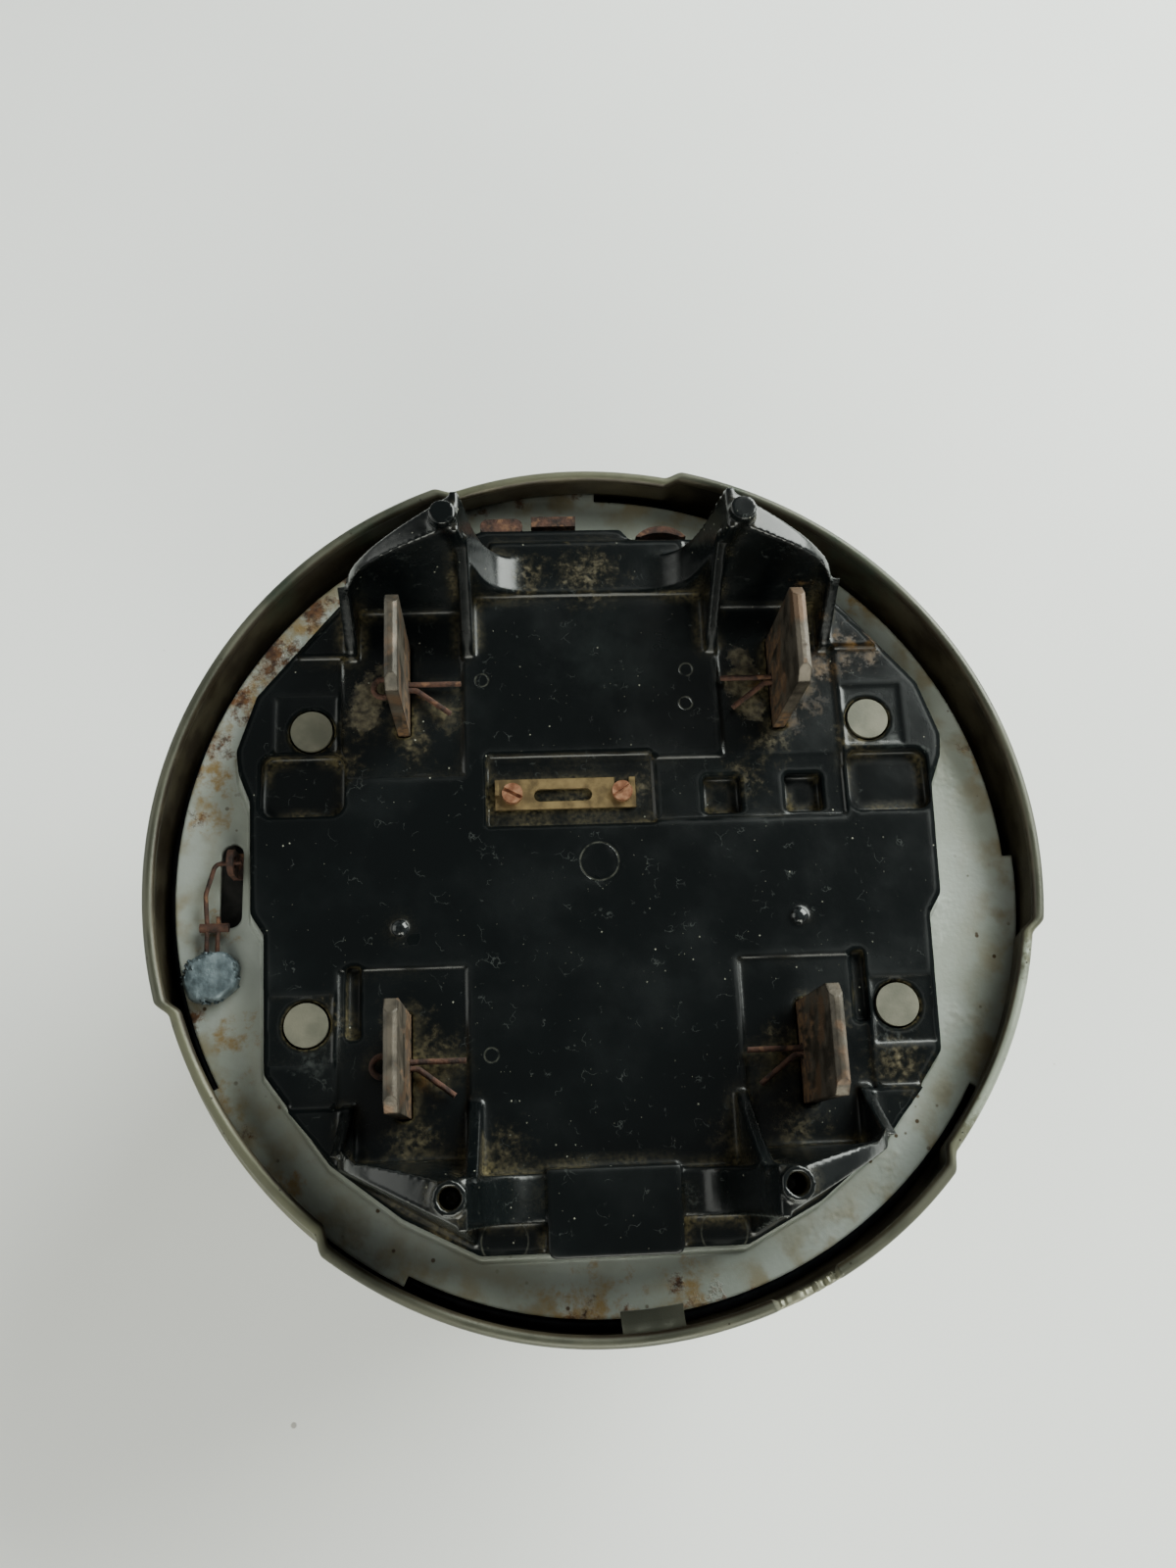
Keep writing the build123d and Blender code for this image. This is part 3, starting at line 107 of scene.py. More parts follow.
def close_finish(tree, sockets):
    """The surface shader that ends a finish."""
    shader = add(tree, "BsdfPrincipled", sockets)
    add(tree, "OutputMaterial", {"Surface": shader})


def patches(tree, place, size, low, high, detail=4.0):
    """Soft-edged patches about size metres across, where the noise rises from low to high."""
    cloud = add(tree, "TexNoise", {"Vector": place, "Scale": 1 / size, "Detail": detail})
    return add(tree, "MapRange", {"Value": cloud, "From Min": low, "From Max": high},
               interpolation_type="SMOOTHSTEP")


def clouded(tree, place, size, low, high, dark, light, detail=4.0):
    """Two colours that cloud into each other, in patches about size metres across."""
    cloud = patches(tree, place, size, low, high, detail)
    return add(tree, "MixRGB", {"Fac": cloud, "Color1": dark, "Color2": light})


def layered(tree, colour, layers):
    """A colour with others laid over it in turn, each as thick as the pattern it comes with."""
    for pattern, tint in layers:
        colour = add(tree, "MixRGB", {"Fac": pattern, "Color1": colour, "Color2": tint})
    return colour


def grained(tree, place, size, detail, strength, depth):
    """A bump of fine noise, with the size and the depth of its grain in metres."""
    fine = add(tree, "TexNoise", {"Vector": place, "Scale": 1 / size, "Detail": detail})
    return add(tree, "Bump", {"Strength": strength, "Distance": depth, "Height": fine})


def grains(tree, place, cell, border, core, share):
    """Round grains, at most one in each cell so many metres wide. Border and core are where a
    grain starts and is full, in cells; a cell whose random shade is under share has none."""
    cells = add(tree, "TexVoronoi", {"Vector": place, "Scale": 1 / cell})
    near = add(tree, "MapRange", {"Value": cells, "From Min": border, "From Max": core})
    chosen = add(tree, "Math", {0: cells.outputs["Color"], 1: share}, operation="GREATER_THAN")
    return add(tree, "Math", {0: near, 1: chosen}, operation="MULTIPLY")


# Matt wood-free paper: no gloss, a faint cloudiness, and here and there a crumb off the meter.
paper, tree, paper_place = new_finish("matt_white_paper")
paper_tone = clouded(tree, paper_place, 0.25, 0.3, 0.7, "#e3e4e2", "#e9eae8")
crumb = grains(tree, paper_place, 1 / 60, 0.055, 0.035, 0.70)
crumb_zone = patches(tree, paper_place, 0.2, 0.47, 0.6)
crumb = add(tree, "Math", {0: crumb, 1: crumb_zone}, operation="MULTIPLY")
paper_colour = layered(tree, paper_tone, [(crumb, "#5b4a38")])
close_finish(tree, {"Base Color": paper_colour, "Roughness": 0.95, "Specular IOR Level": 0.1})

sheet_half = 2.2
sheet_drop = 0.0001
sheet_mesh = bpy.data.meshes.new("paper_sheet")
sheet_mesh.from_pydata(
    [(-sheet_half, -sheet_half, -sheet_drop), (sheet_half, -sheet_half, -sheet_drop),
     (sheet_half, sheet_half, -sheet_drop), (-sheet_half, sheet_half, -sheet_drop)],
    [], [(0, 1, 2, 3)])
sheet_mesh.materials.append(paper)
paper_sheet = bpy.data.objects.new("paper_sheet", sheet_mesh)
bpy.context.collection.objects.link(paper_sheet)

soft_boxes = [
    ("window_box", (0.76, 0.62, 0.64), 0.9, 37.0, "#f8fff8"),
    ("left_box", (-0.95, 0.15, 0.65), 0.8, 4.0, "#fbfff7"),
    ("front_box", (0.10, -0.95, 0.60), 0.8, 14.0, "#fdfff2"),
]
for name, place, size, watts, tint in soft_boxes:
    lamp_data = bpy.data.lights.new(name, "AREA")
    lamp_data.size = size
    lamp_data.energy = watts
    lamp_data.color = linear(tint)[:3]
    lamp = bpy.data.objects.new(name, lamp_data)
    lamp.location = place
    lamp.rotation_euler = Vector(place).to_track_quat("Z", "Y").to_euler()
    bpy.context.collection.objects.link(lamp)

world = bpy.data.worlds.new("studio_air")
world.use_nodes = True
world.node_tree.nodes.clear()
# The air is pale at eye level, as the walls of the tent, and dim overhead.
sky = add(world.node_tree, "TexCoord", {}).outputs["Generated"]
sky_height = add(world.node_tree, "SeparateXYZ", {"Vector": sky}).outputs["Z"]
sky_light = add(world.node_tree, "MapRange", {"Value": sky_height, "From Min": 0.05,
                                              "From Max": 0.75, "To Min": 0.72, "To Max": 0.18},
                interpolation_type="SMOOTHSTEP")
air = add(world.node_tree, "Background", {"Color": "#edf1ec", "Strength": sky_light})
add(world.node_tree, "OutputWorld", {"Surface": air})
bpy.context.scene.world = world


# ----------------------------------------------------------------------------
# Base pan. Pressed sheet steel, sprayed light grey; the paint has blistered, and moisture that
# stood in the rim has rusted it in bands, with tan grit stuck to the lowest places.

MM = 0.001


def coat(node_name, material):
    """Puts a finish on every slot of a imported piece."""
    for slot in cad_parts[node_name].material_slots:
        slot.material = material


def stain(tree, place, spots, start, end, ragged=1.0, size=3.0):
    """The union of ragged stains round places given as x, y, z and radius in millimetres; the
    stain comes in from start to end, and ragged says how far the noise pulls its border."""
    cloud = add(tree, "TexNoise", {"Vector": place, "Scale": 1 / (size * MM), "Detail": 9.0,
                                   "Roughness": 0.7})
    total = None
    for x, y, z, radius in spots:
        gap = add(tree, "VectorMath", {0: place, 1: (x * MM, y * MM, z * MM)}, operation="DISTANCE")
        near = add(tree, "MapRange", {"Value": gap.outputs["Value"], "From Min": radius * MM,
                                      "From Max": 0.0, "To Min": -0.5, "To Max": 0.5}, clamp=False)
        total = near if total is None else add(
            tree, "Math", {0: total, 1: near}, operation="MAXIMUM")
    broken = add(tree, "Math", {0: cloud, 1: 3 * ragged, 2: total}, operation="MULTIPLY_ADD")
    return add(tree, "MapRange", {"Value": broken, "From Min": start + 1.5 * ragged,
                                  "From Max": end + 1.5 * ragged}, interpolation_type="SMOOTHSTEP")


# Sprayed enamel over rusting steel: satin, cloudy, blistered, and brown where it has failed.
pan_enamel, tree, place = new_finish("blistered_grey_enamel")
paint = clouded(tree, place, 22 * MM, 0.35, 0.65, "#a5aba5", "#94998f")
radius = add(tree, "VectorMath", {0: place, 1: (1.0, 1.0, 0.0)}, operation="MULTIPLY")
radius = add(tree, "VectorMath", {0: radius}, operation="LENGTH").outputs["Value"]
edge_dirt = add(tree, "MapRange", {"Value": radius, "From Min": 74 * MM, "From Max": 85 * MM})
film_cloud = patches(tree, place, 6 * MM, 0.40, 0.66, detail=9.0)
film = add(tree, "Math", {0: edge_dirt, 1: film_cloud}, operation="MULTIPLY")
tan_patch = stain(tree, place, [
    (-77.5, 42, 115, 22), (-71, -30, 115, 10), (-75, -8, 115, 9), (-78, 14, 115, 9),
    (-31, 84, 115, 16), (85, 22, 115, 13), (-5, -84, 115, 24), (84, -32, 115, 9),
    (-60, -58, 115, 10), (14, -80, 115, 12), (-60, 56, 115, 17), (60, 60, 115, 9),
    (-70, 40, 115, 16), (-78, 22, 115, 13), (-80, -18, 115, 9), (-74, -42, 115, 12),
], 0.05, 0.75, ragged=0.9)
rust_patch = stain(tree, place, [
    (-66, 50, 115, 17), (-57, 60, 115, 14), (-72, 39, 115, 12), (-50, 68, 115, 9),
    (-77, 30, 115, 8), (-80, 14, 115, 5), (-79, -26, 115, 5), (-70, -50, 115, 6),
    (-6, -84.5, 115, 9), (11.5, -78.5, 115, 4), (17.7, -83, 115, 8), (4, -85, 115, 7),
    (26, -80.5, 115, 4), (84, 29, 115, 6), (80, 25, 115, 5), (-73.5, -2, 115, 5),
    (-1, 86, 115, 4), (-13, 84, 115, 3), (-22, 82, 115, 4), (-81, 24, 115, 5), (83, -28, 115, 3),
], 0.05, 0.55, ragged=0.8, size=2.6)
rust_tint = clouded(tree, place, 1.6 * MM, 0.30, 0.70, "#33211a", "#735034", detail=9.0)
# Grit: single grains nearly 1 mm across, in patches.
grain = grains(tree, place, 2.4 * MM, 0.2, 0.13, 0.66)
grit_zone = patches(tree, place, 16 * MM, 0.42, 0.58)
grit = add(tree, "Math", {0: grain, 1: grit_zone}, operation="MULTIPLY")
# Painted shade: the fold round the block is darkened where ambient occlusion within 2.5 mm finds it
# enclosed.
fold = add(tree, "AmbientOcclusion", {"Distance": 2.5 * MM}, samples=6)
fold_painted_shade = add(tree, "MapRange", {"Value": fold.outputs["AO"], "From Min": 0.75, "From Max": 0.35,
                                   "To Max": 0.55})
pan_colour = layered(tree, paint, [(film, "#857c62"), (tan_patch, "#8e7850"),
                                   (rust_patch, rust_tint), (grit, "#4a3a27"),
                                   (fold_painted_shade, "#3b372c")])
# Blisters of 1 mm in patches, on top of the faint orange peel of the spray.
blister_cells = add(tree, "TexVoronoi", {"Vector": place, "Scale": 1 / (1.5 * MM)},
                    feature="SMOOTH_F1")
blister_zone = patches(tree, place, 12 * MM, 0.5, 0.62)
blisters = add(tree, "Math", {0: blister_cells, 1: blister_zone}, operation="MULTIPLY")
peel = add(tree, "TexNoise", {"Vector": place, "Scale": 1 / (0.9 * MM), "Detail": 3.0})
relief = add(tree, "Math", {0: peel, 1: 0.35, 2: blisters}, operation="MULTIPLY_ADD")
relief = add(tree, "Math", {0: rust_patch, 1: relief}, operation="ADD")
soft_edge = add(tree, "Bevel", {"Radius": 0.9 * MM}, samples=6)
pan_bump = add(tree, "Bump", {"Strength": 0.5, "Distance": 0.25 * MM, "Height": relief,
                              "Normal": soft_edge})
pan_gloss = add(tree, "MapRange", {"Value": rust_patch, "To Min": 0.38, "To Max": 0.85})
close_finish(tree, {"Base Color": pan_colour, "Metallic": 0.25,
                    "Roughness": pan_gloss, "Normal": pan_bump})
coat("base_pan", pan_enamel)


# ----------------------------------------------------------------------------
# Cover rim. One ring of spun sheet with a rolled edge, pressed in along three stretches that
# hook under the pan's lugs. Weather has turned it olive, green inside and chalky where rubbed,
# and on the lower right the pressed stretch is made paler still, a painted highlight.

rim_low, rim_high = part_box("cover_ring")
rim_radius = rim_high.x
rim_sheet = 1.0 * MM
rim_mouth = 77.6 * MM
flange_sheet = 1.2 * MM
bead_radius = 1.2 * MM
press_depth = 2.1 * MM
press_ledge = rim_high.z - 10.8 * MM
press_blend = 1.3
bayonets = [(77.0, 110.0), (197.0, 232.0), (317.5, 350.0)]
torn_edge = (289.0, 297.5)
rim_steps = 1440


def smooth(value, start, end):
    """Nought before start, one after end, with an S curve between them."""
    part = min(max((value - start) / (end - start), 0.0), 1.0)
    return part * part * (3 - 2 * part)


def pressed(angle):
    """How far in the rim is pressed at an angle, from nought to one."""
    return max(smooth(angle, start - press_blend, start + press_blend)
               * (1 - smooth(angle, end - press_blend, end + press_blend))
               for start, end in bayonets)


def torn(angle):
    """How much of the rolled edge has broken away at an angle."""
    start, end = torn_edge
    inside = smooth(angle, start - 0.2, start + 0.2) * (1 - smooth(angle, end - 0.2, end + 0.2))
    bite = 0.55 + 0.6 * noise.noise(Vector((angle * 1.7, 3.1, 0.0)))
    return inside * min(max(bite, 0.15), 1.0)


def rim_section(angle):
    """Radius, height and side (one inside, nought outside) round the sheet at an angle."""
    press = pressed(angle)
    loss = torn(angle)
    turn = Vector((math.cos(math.radians(angle)), math.sin(math.radians(angle)), 0.0))
    sway = 0.16 * MM * noise.noise(turn * 2.3) - 0.18 * MM
    dip = 0.25 * MM * noise.noise(turn * 3.1 + Vector((5.0, 0.0, 0.0))) - 0.1 * MM
    wall = rim_radius - press_depth * press + sway
    foot = rim_radius + sway
    inner = wall - rim_sheet
    edge_height = rim_high.z - bead_radius + dip
    section = [
        (rim_mouth, rim_low.z, 0.0),
        (foot - 2.0 * MM, rim_low.z, 0.0),
        (foot - 0.7 * MM, rim_low.z + 0.45 * MM, 0.0),
        (foot, rim_low.z + 2.0 * MM, 0.0),
        (foot, press_ledge - 1.6 * MM, 0.0),
        (foot - 0.15 * press * press_depth, press_ledge - 0.5 * MM, 0.0),
        (foot - 0.5 * press * press_depth, press_ledge + 0.3 * MM, 0.0),
        (foot - 0.85 * press * press_depth, press_ledge + 1.1 * MM, 0.0),
        (wall, press_ledge + 2.2 * MM, 0.0),
        (wall, edge_height - 1.3 * MM, 0.0),
    ]
    tear_height = edge_height - (0.9 + 0.7 * noise.noise(turn * 60.0)) * MM
    for step in range(13):
        swing = math.radians(-10 + 21 * step)
        radius = wall - bead_radius + bead_radius * math.cos(swing)
        height = edge_height + bead_radius * math.sin(swing)
        stub = wall if step < 6 else inner
        radius += loss * (stub - radius)
        height += loss * (min(tear_height, height) - height)
        section.append((radius, height, 0.0 if step < 7 else 1.0))
    section += [
        (inner - 0.1 * MM, edge_height - 1.6 * MM, 1.0),
        (inner, edge_height - 2.4 * MM, 1.0),
        (inner, press_ledge + 2.0 * MM, 1.0),
        (inner + 0.5 * press * press_depth, press_ledge - 0.3 * MM, 1.0),
        (foot - rim_sheet, press_ledge - 1.6 * MM, 1.0),
        (foot - rim_sheet, rim_low.z + 2.2 * MM, 1.0),
        (foot - rim_sheet - 0.8 * MM, rim_low.z + flange_sheet, 1.0),
        (rim_mouth, rim_low.z + flange_sheet, 1.0),
    ]
    return section, press, loss


rim_points, rim_sides, rim_presses, rim_breaks = [], [], [], []
for step in range(rim_steps):
    angle = 360.0 * step / rim_steps
    section, press, loss = rim_section(angle)
    for radius, height, side in section:
        rim_points.append((radius * math.cos(math.radians(angle)),
                           radius * math.sin(math.radians(angle)), height))
        rim_sides.append(side)
        rim_presses.append(press)
        rim_breaks.append(loss if height > rim_high.z - 4 * MM else 0.0)
ring_count = len(section)
rim_faces = []
for step in range(rim_steps):
    after = (step + 1) % rim_steps
    for spot in range(ring_count):
        following = (spot + 1) % ring_count
        rim_faces.append((step * ring_count + spot, after * ring_count + spot,
                          after * ring_count + following, step * ring_count + following))


def build_piece(name, points, faces, material, sharp=40.0):
    """A mesh piece at the frame's origin, smooth but for edges sharper than the given angle."""
    mesh = bpy.data.meshes.new(name)
    mesh.from_pydata(points, [], faces)
    mesh.materials.append(material)
    mesh.shade_smooth()
    mesh.set_sharp_from_angle(angle=math.radians(sharp))
    piece = bpy.data.objects.new(name, mesh)
    bpy.context.collection.objects.link(piece)
    return piece


# Weathered tinned brass: satin olive, dark brown within, khaki on the pressed parts, and paler on the
# lower right one, where chalky wear and a painted highlight lie together.
rim_metal, tree, place = new_finish("weathered_rim_metal")
side = add(tree, "Attribute", {}, attribute_name="inner_side").outputs["Fac"]
press = add(tree, "Attribute", {}, attribute_name="pressed_in").outputs["Fac"]
broken = add(tree, "Attribute", {}, attribute_name="broken_edge").outputs["Fac"]
cloudy = patches(tree, place, 14 * MM, 0.35, 0.65, detail=6.0)
skin = add(tree, "MixRGB", {"Fac": cloudy, "Color1": "#3f4036", "Color2": "#4c4c40"})
# Painted highlight and chalky wear: the rubbed parts turn pale within this stain on the lower right.
chalk_and_highlight_zone = stain(tree, place, [(78, -38, 120, 44)], 0.0, 0.2, ragged=0.3)
khaki = add(tree, "MixRGB", {"Fac": chalk_and_highlight_zone, "Color1": "#5a5a49", "Color2": "#8b9184"})
rubbed = add(tree, "Math", {0: press, 1: patches(tree, place, 9 * MM, 0.2, 0.5)},
             operation="MULTIPLY")
inner = clouded(tree, place, 10 * MM, 0.4, 0.65, "#2a241a", "#403b2d", detail=6.0)
verdigris = stain(tree, place, [
    (58, 64, 122, 34), (-46, 74, 122, 20), (34, 81, 122, 14), (-64, 60, 122, 18),
], 0.0, 0.9, ragged=0.5, size=5.0)
speck = grains(tree, place, 1.3 * MM, 0.22, 0.12, 0.78)
rim_colour = layered(tree, skin, [(rubbed, khaki), (side, inner), (verdigris, "#243329"),
                                  (broken, "#8d8c78"), (speck, "#2a261c")])
rim_dull = add(tree, "MapRange", {"Value": cloudy, "To Min": 0.36, "To Max": 0.55})
rim_bump = grained(tree, place, 0.5 * MM, 4.0, 0.35, 0.1 * MM)
close_finish(tree, {"Base Color": rim_colour, "Metallic": 0.45,
                    "Roughness": rim_dull, "Normal": rim_bump})

spun_rim = build_piece("spun_rim", rim_points, rim_faces, rim_metal)
for name, values in (("inner_side", rim_sides), ("pressed_in", rim_presses),
                     ("broken_edge", rim_breaks)):
    layer = spun_rim.data.attributes.new(name, "FLOAT", "POINT")
    layer.data.foreach_set("value", values)
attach(spun_rim, "cover")
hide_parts("cover_ring")

# The tab is cut from the rim's own sheet and folded in over the pan, so it shows bare edges.
tab_angle = math.radians(274.5)
tab_half = 5.8 * MM
tab_height = rim_high.z - 8.4 * MM
tab_radius = 87.0 * MM
tab_profile = [(0.0, 3.4), (-0.35, 1.6), (-1.3, 0.55), (-2.6, 0.2), (-4.6, 0.0)]
tab_points = []
for across in range(9):
    swing = tab_half * (across / 4 - 1)
    for inward, up in tab_profile:
        wave = 0.12 * MM * math.sin(across * 1.9 + inward)
        for lift in (0.0, rim_sheet):
            along = tab_radius + inward * MM - (swing * swing) / (2 * tab_radius)
            spot = Vector((along, swing, tab_height + up * MM + lift + wave))
            turned = Euler((0.0, 0.0, tab_angle)).to_matrix() @ spot
            tab_points.append(tuple(turned))
tab_row = 2 * len(tab_profile)
tab_faces = []
for across in range(8):
    base = across * tab_row
    for part in range(len(tab_profile) - 1):
        low = base + 2 * part
        tab_faces.append((low, low + 2, low + 2 + tab_row, low + tab_row))
        tab_faces.append((low + 1, low + 1 + tab_row, low + 3 + tab_row, low + 3))
    tab_faces.append((base, base + tab_row, base + tab_row + 1, base + 1))
    tip = base + tab_row - 2
    tab_faces.append((tip, tip + 1, tip + 1 + tab_row, tip + tab_row))
for base, flip in ((0, False), (8 * tab_row, True)):
    for part in range(len(tab_profile) - 1):
        low = base + 2 * part
        face = (low, low + 1, low + 3, low + 2)
        tab_faces.append(face[::-1] if flip else face)
folded_tab = build_piece("folded_tab", tab_points, tab_faces, rim_metal)
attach(folded_tab, "cover")


# ----------------------------------------------------------------------------
# Terminal block. One thick moulding of black phenolic: feet, barriers and saddles still carry
# the gloss of the tool, while dust lies on the flats and in every corner.

block_face = 124.0

# Moulded phenolic: blue-black and glossy, greyer where handled, tan dust wherever it can settle.
phenolic, tree, place = new_finish("moulded_black_phenolic")
handled = patches(tree, place, 16 * MM, 0.40, 0.72, detail=8.0)
resin = add(tree, "MixRGB", {"Fac": handled, "Color1": "#040708", "Color2": "#0a0e0f"})
scuff = stain(tree, place, [
    (37, 58, 146, 7), (-37, 58, 146, 7), (-41, -60, 138, 9), (41, -60, 138, 8), (55, -34, 124, 9),
    (-55, -36, 124, 8), (60, 24, 124, 8), (14, -62, 128, 5), (-20, 64, 130, 6),
], 0.1, 0.8, ragged=1.0, size=1.5)
haze = stain(tree, place, [(4, 44, block_face, 44), (24, 18, block_face, 20)], 0.05, 0.9,
             ragged=0.4, size=9.0)
# Dust in corners: what ambient occlusion within 3 mm finds, broken up by fine noise.
corner = add(tree, "AmbientOcclusion", {"Distance": 3.0 * MM}, samples=8)
corner_dark = add(tree, "MapRange", {"Value": corner.outputs["AO"], "From Min": 0.93,
                                     "From Max": 0.60})
dust_grain = patches(tree, place, 0.8 * MM, 0.25, 0.75, detail=4.0)
dust_zone = patches(tree, place, 11 * MM, 0.40, 0.62, detail=6.0)
dust_line = add(tree, "Math", {0: corner_dark, 1: dust_grain}, operation="MULTIPLY")
dust_line = add(tree, "Math", {0: dust_line, 1: dust_zone}, operation="MULTIPLY")
# Drifts of tan dust in the blade pockets, under the saddles and on the upper one.
drift_reach = stain(tree, place, [
    (-33, -35, block_face, 11), (33, -37, block_face, 10), (44, -31, block_face, 9),
    (-36, 26, block_face, 8), (-30, 32, block_face, 8), (36, 25, block_face, 9),
    (-36, -51, block_face, 12), (35, -51, block_face, 12), (0, 62, 125, 15), (-12, 62, 125, 10),
    (-52, -28, block_face, 8), (23, -53, 125, 9), (-20, -54, 125, 11), (8, 16, 123, 8),
    (55, -40, block_face, 12), (-47, 31, block_face, 9), (-50, 22, block_face, 8),
    (-38, -30, block_face, 10), (-30, -67, 124, 9), (30, 17, 123.5, 9), (54, 25, block_face, 10),
], -0.1, 1.1, ragged=0.7, size=2.0)
drift_grain = patches(tree, place, 1.1 * MM, 0.32, 0.80, detail=5.0)
drift = add(tree, "Math", {0: drift_reach, 1: drift_grain}, operation="MULTIPLY")
# Dried crusts of dust and old grease behind the two upper blades, with a torn border.
crust = stain(tree, place, [
    (31.5, 38, block_face, 8.5), (33, 32, block_face, 6), (31, 43, block_face, 6),
    (-44.5, 37, block_face, 9), (-46, 32, block_face, 7.5), (-41, 42, block_face, 6),
], 0.0, 0.22, ragged=0.45, size=2.6)
crust_tint = clouded(tree, place, 1.4 * MM, 0.30, 0.70, "#28231a", "#585240", detail=8.0)
rust_run = stain(tree, place, [
    (43, 36, block_face, 11), (47, 41, 124, 11), (53, 44, 125, 10), (59, 44.5, 124.5, 8),
    (34, 37, block_face, 5), (-34.5, -40, block_face, 5), (-34, 36, block_face, 4.5),
    (34.5, -38, block_face, 4.5), (41, 46, 126, 8), (43, 53, 134, 7), (46, 50, 130, 6),
    (41, 29, block_face, 6),
], 0.0, 0.95, ragged=0.7, size=2.4)
run_tint = clouded(tree, place, 2.2 * MM, 0.30, 0.70, "#281c11", "#664d2a", detail=8.0)
block_layers = [(haze, "#1b2020"), (scuff, "#202423"), (dust_line, "#5e563e"), (drift, "#6b6146"),
                (crust, crust_tint), (rust_run, run_tint)]
# Pale specks of lint and grit, 0.2 to 0.4 mm across, two densities laid over each other.
for cell, border, share, tint in ((2.1, 0.10, 0.66, "#8f8f82"), (1.0, 0.12, 0.76, "#56564c")):
    lint = grains(tree, place, cell * MM, border, border / 2, share)
    lint_zone = patches(tree, place, 14 * MM, 0.36, 0.62)
    lint = add(tree, "Math", {0: lint, 1: lint_zone}, operation="MULTIPLY")
    block_layers.append((lint, tint))
# Short hair scratches: thin borders of warped cells, shown only in small rubbed places.
warp = add(tree, "TexNoise", {"Vector": place, "Scale": 1 / (3.5 * MM), "Detail": 3.0})
hair_sway = (6 * MM, 6 * MM, 6 * MM)
bent = add(tree, "VectorMath", {0: warp.outputs["Color"], 1: hair_sway, 2: place},
           operation="MULTIPLY_ADD")
hair_cells = add(tree, "TexVoronoi", {"Vector": bent, "Scale": 1 / (4 * MM)},
                 feature="DISTANCE_TO_EDGE")
hair = add(tree, "MapRange", {"Value": hair_cells, "From Min": 0.022, "From Max": 0.008})
hair_zone = patches(tree, place, 3.5 * MM, 0.58, 0.66)
hair = add(tree, "Math", {0: hair, 1: hair_zone}, operation="MULTIPLY")
# Ejector and gate marks of the tool: fine rings, given as x, y and radius in millimetres.
mould_rings = None
for x, y, ring in ((0.2, 0.8, 3.8), (-21.7, -35.9, 1.35), (-22.2, 39.2, 1.35), (19.7, 40.6, 1.35),
                   (19.2, 33.3, 1.35), (20.0, -69.2, 4.25), (-20.0, -69.2, 4.25)):
    gap = add(tree, "VectorMath", {0: place, 1: (x * MM, y * MM, block_face * MM)},
              operation="DISTANCE")
    off = add(tree, "Math", {0: gap.outputs["Value"], 1: ring * MM}, operation="SUBTRACT")
    off = add(tree, "Math", {0: off}, operation="ABSOLUTE")
    line = add(tree, "MapRange", {"Value": off, "From Min": 0.24 * MM, "From Max": 0.08 * MM})
    mould_rings = line if mould_rings is None else add(
        tree, "Math", {0: mould_rings, 1: line}, operation="MAXIMUM")
ring_dust = add(tree, "Math", {0: mould_rings, 1: patches(tree, place, 1.5 * MM, 0.25, 0.7)},
                operation="MULTIPLY")
block_layers += [(hair, "#2b2e2d"), (ring_dust, "#3f403a")]
block_colour = layered(tree, resin, block_layers)
dirt = drift
for pattern in (rust_run, crust, dust_line):
    dirt = add(tree, "Math", {0: dirt, 1: pattern}, operation="MAXIMUM")
# The low steps of the flats are dull with fine dust, at their feet and along their lips.
height = add(tree, "SeparateXYZ", {"Vector": place}).outputs["Z"]
on_flat = add(tree, "MapRange", {"Value": height, "From Min": 129.5 * MM, "From Max": 126.5 * MM})
curve = add(tree, "NewGeometry", {}).outputs["Pointiness"]
lip = add(tree, "MapRange", {"Value": curve, "From Min": 0.50, "From Max": 0.516})
step_edge = add(tree, "Math", {0: lip, 1: corner_dark}, operation="MAXIMUM")
step_dull = add(tree, "Math", {0: step_edge, 1: on_flat}, operation="MULTIPLY")
block_shine = add(tree, "MapRange", {"Value": step_dull, "To Min": 0.40, "To Max": 0.04})
gloss = add(tree, "MapRange", {"Value": handled, "To Min": 0.20, "To Max": 0.29})
for pattern, dulling in ((scuff, 0.2), (step_dull, 0.45), (dirt, 0.5)):
    gloss = add(tree, "Math", {0: pattern, 1: dulling, 2: gloss}, operation="MULTIPLY_ADD")
skin_wave = add(tree, "TexNoise", {"Vector": place, "Scale": 1 / (3 * MM), "Detail": 3.0})
relief = add(tree, "Math", {0: dirt, 1: dust_grain, 2: skin_wave}, operation="MULTIPLY_ADD")
relief = add(tree, "Math", {0: mould_rings, 1: -0.8, 2: relief}, operation="MULTIPLY_ADD")
block_bump = add(tree, "Bump", {"Strength": 0.3, "Distance": 0.15 * MM, "Height": relief})
close_finish(tree, {"Base Color": block_colour, "IOR": 1.52, "Specular IOR Level": block_shine,
                    "Roughness": gloss, "Normal": block_bump})


def rubbed_copy(node_name, piece_name, voxel, rubbing, keep, material):
    """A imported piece's shape with its corners rubbed round, as they leave the mould."""
    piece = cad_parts[node_name].copy()
    piece.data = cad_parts[node_name].data.copy()
    bpy.context.collection.objects.link(piece)
    remesh = piece.modifiers.new("even_quads", "REMESH")
    remesh.mode = "VOXEL"
    remesh.voxel_size = voxel
    rub = piece.modifiers.new("rubbed", "SMOOTH")
    rub.iterations = rubbing
    thin = piece.modifiers.new("thinned", "DECIMATE")
    thin.ratio = keep
    graph = bpy.context.evaluated_depsgraph_get()
    mesh = bpy.data.meshes.new_from_object(piece.evaluated_get(graph))
    bpy.data.objects.remove(piece)
    mesh.name = piece_name
    mesh.materials.clear()
    mesh.materials.append(material)
    mesh.shade_smooth()
    finished = bpy.data.objects.new(piece_name, mesh)
    bpy.context.collection.objects.link(finished)
    return finished


moulded_block = rubbed_copy("terminal_block", "moulded_block", 0.42 * MM, 4, 0.35, phenolic)

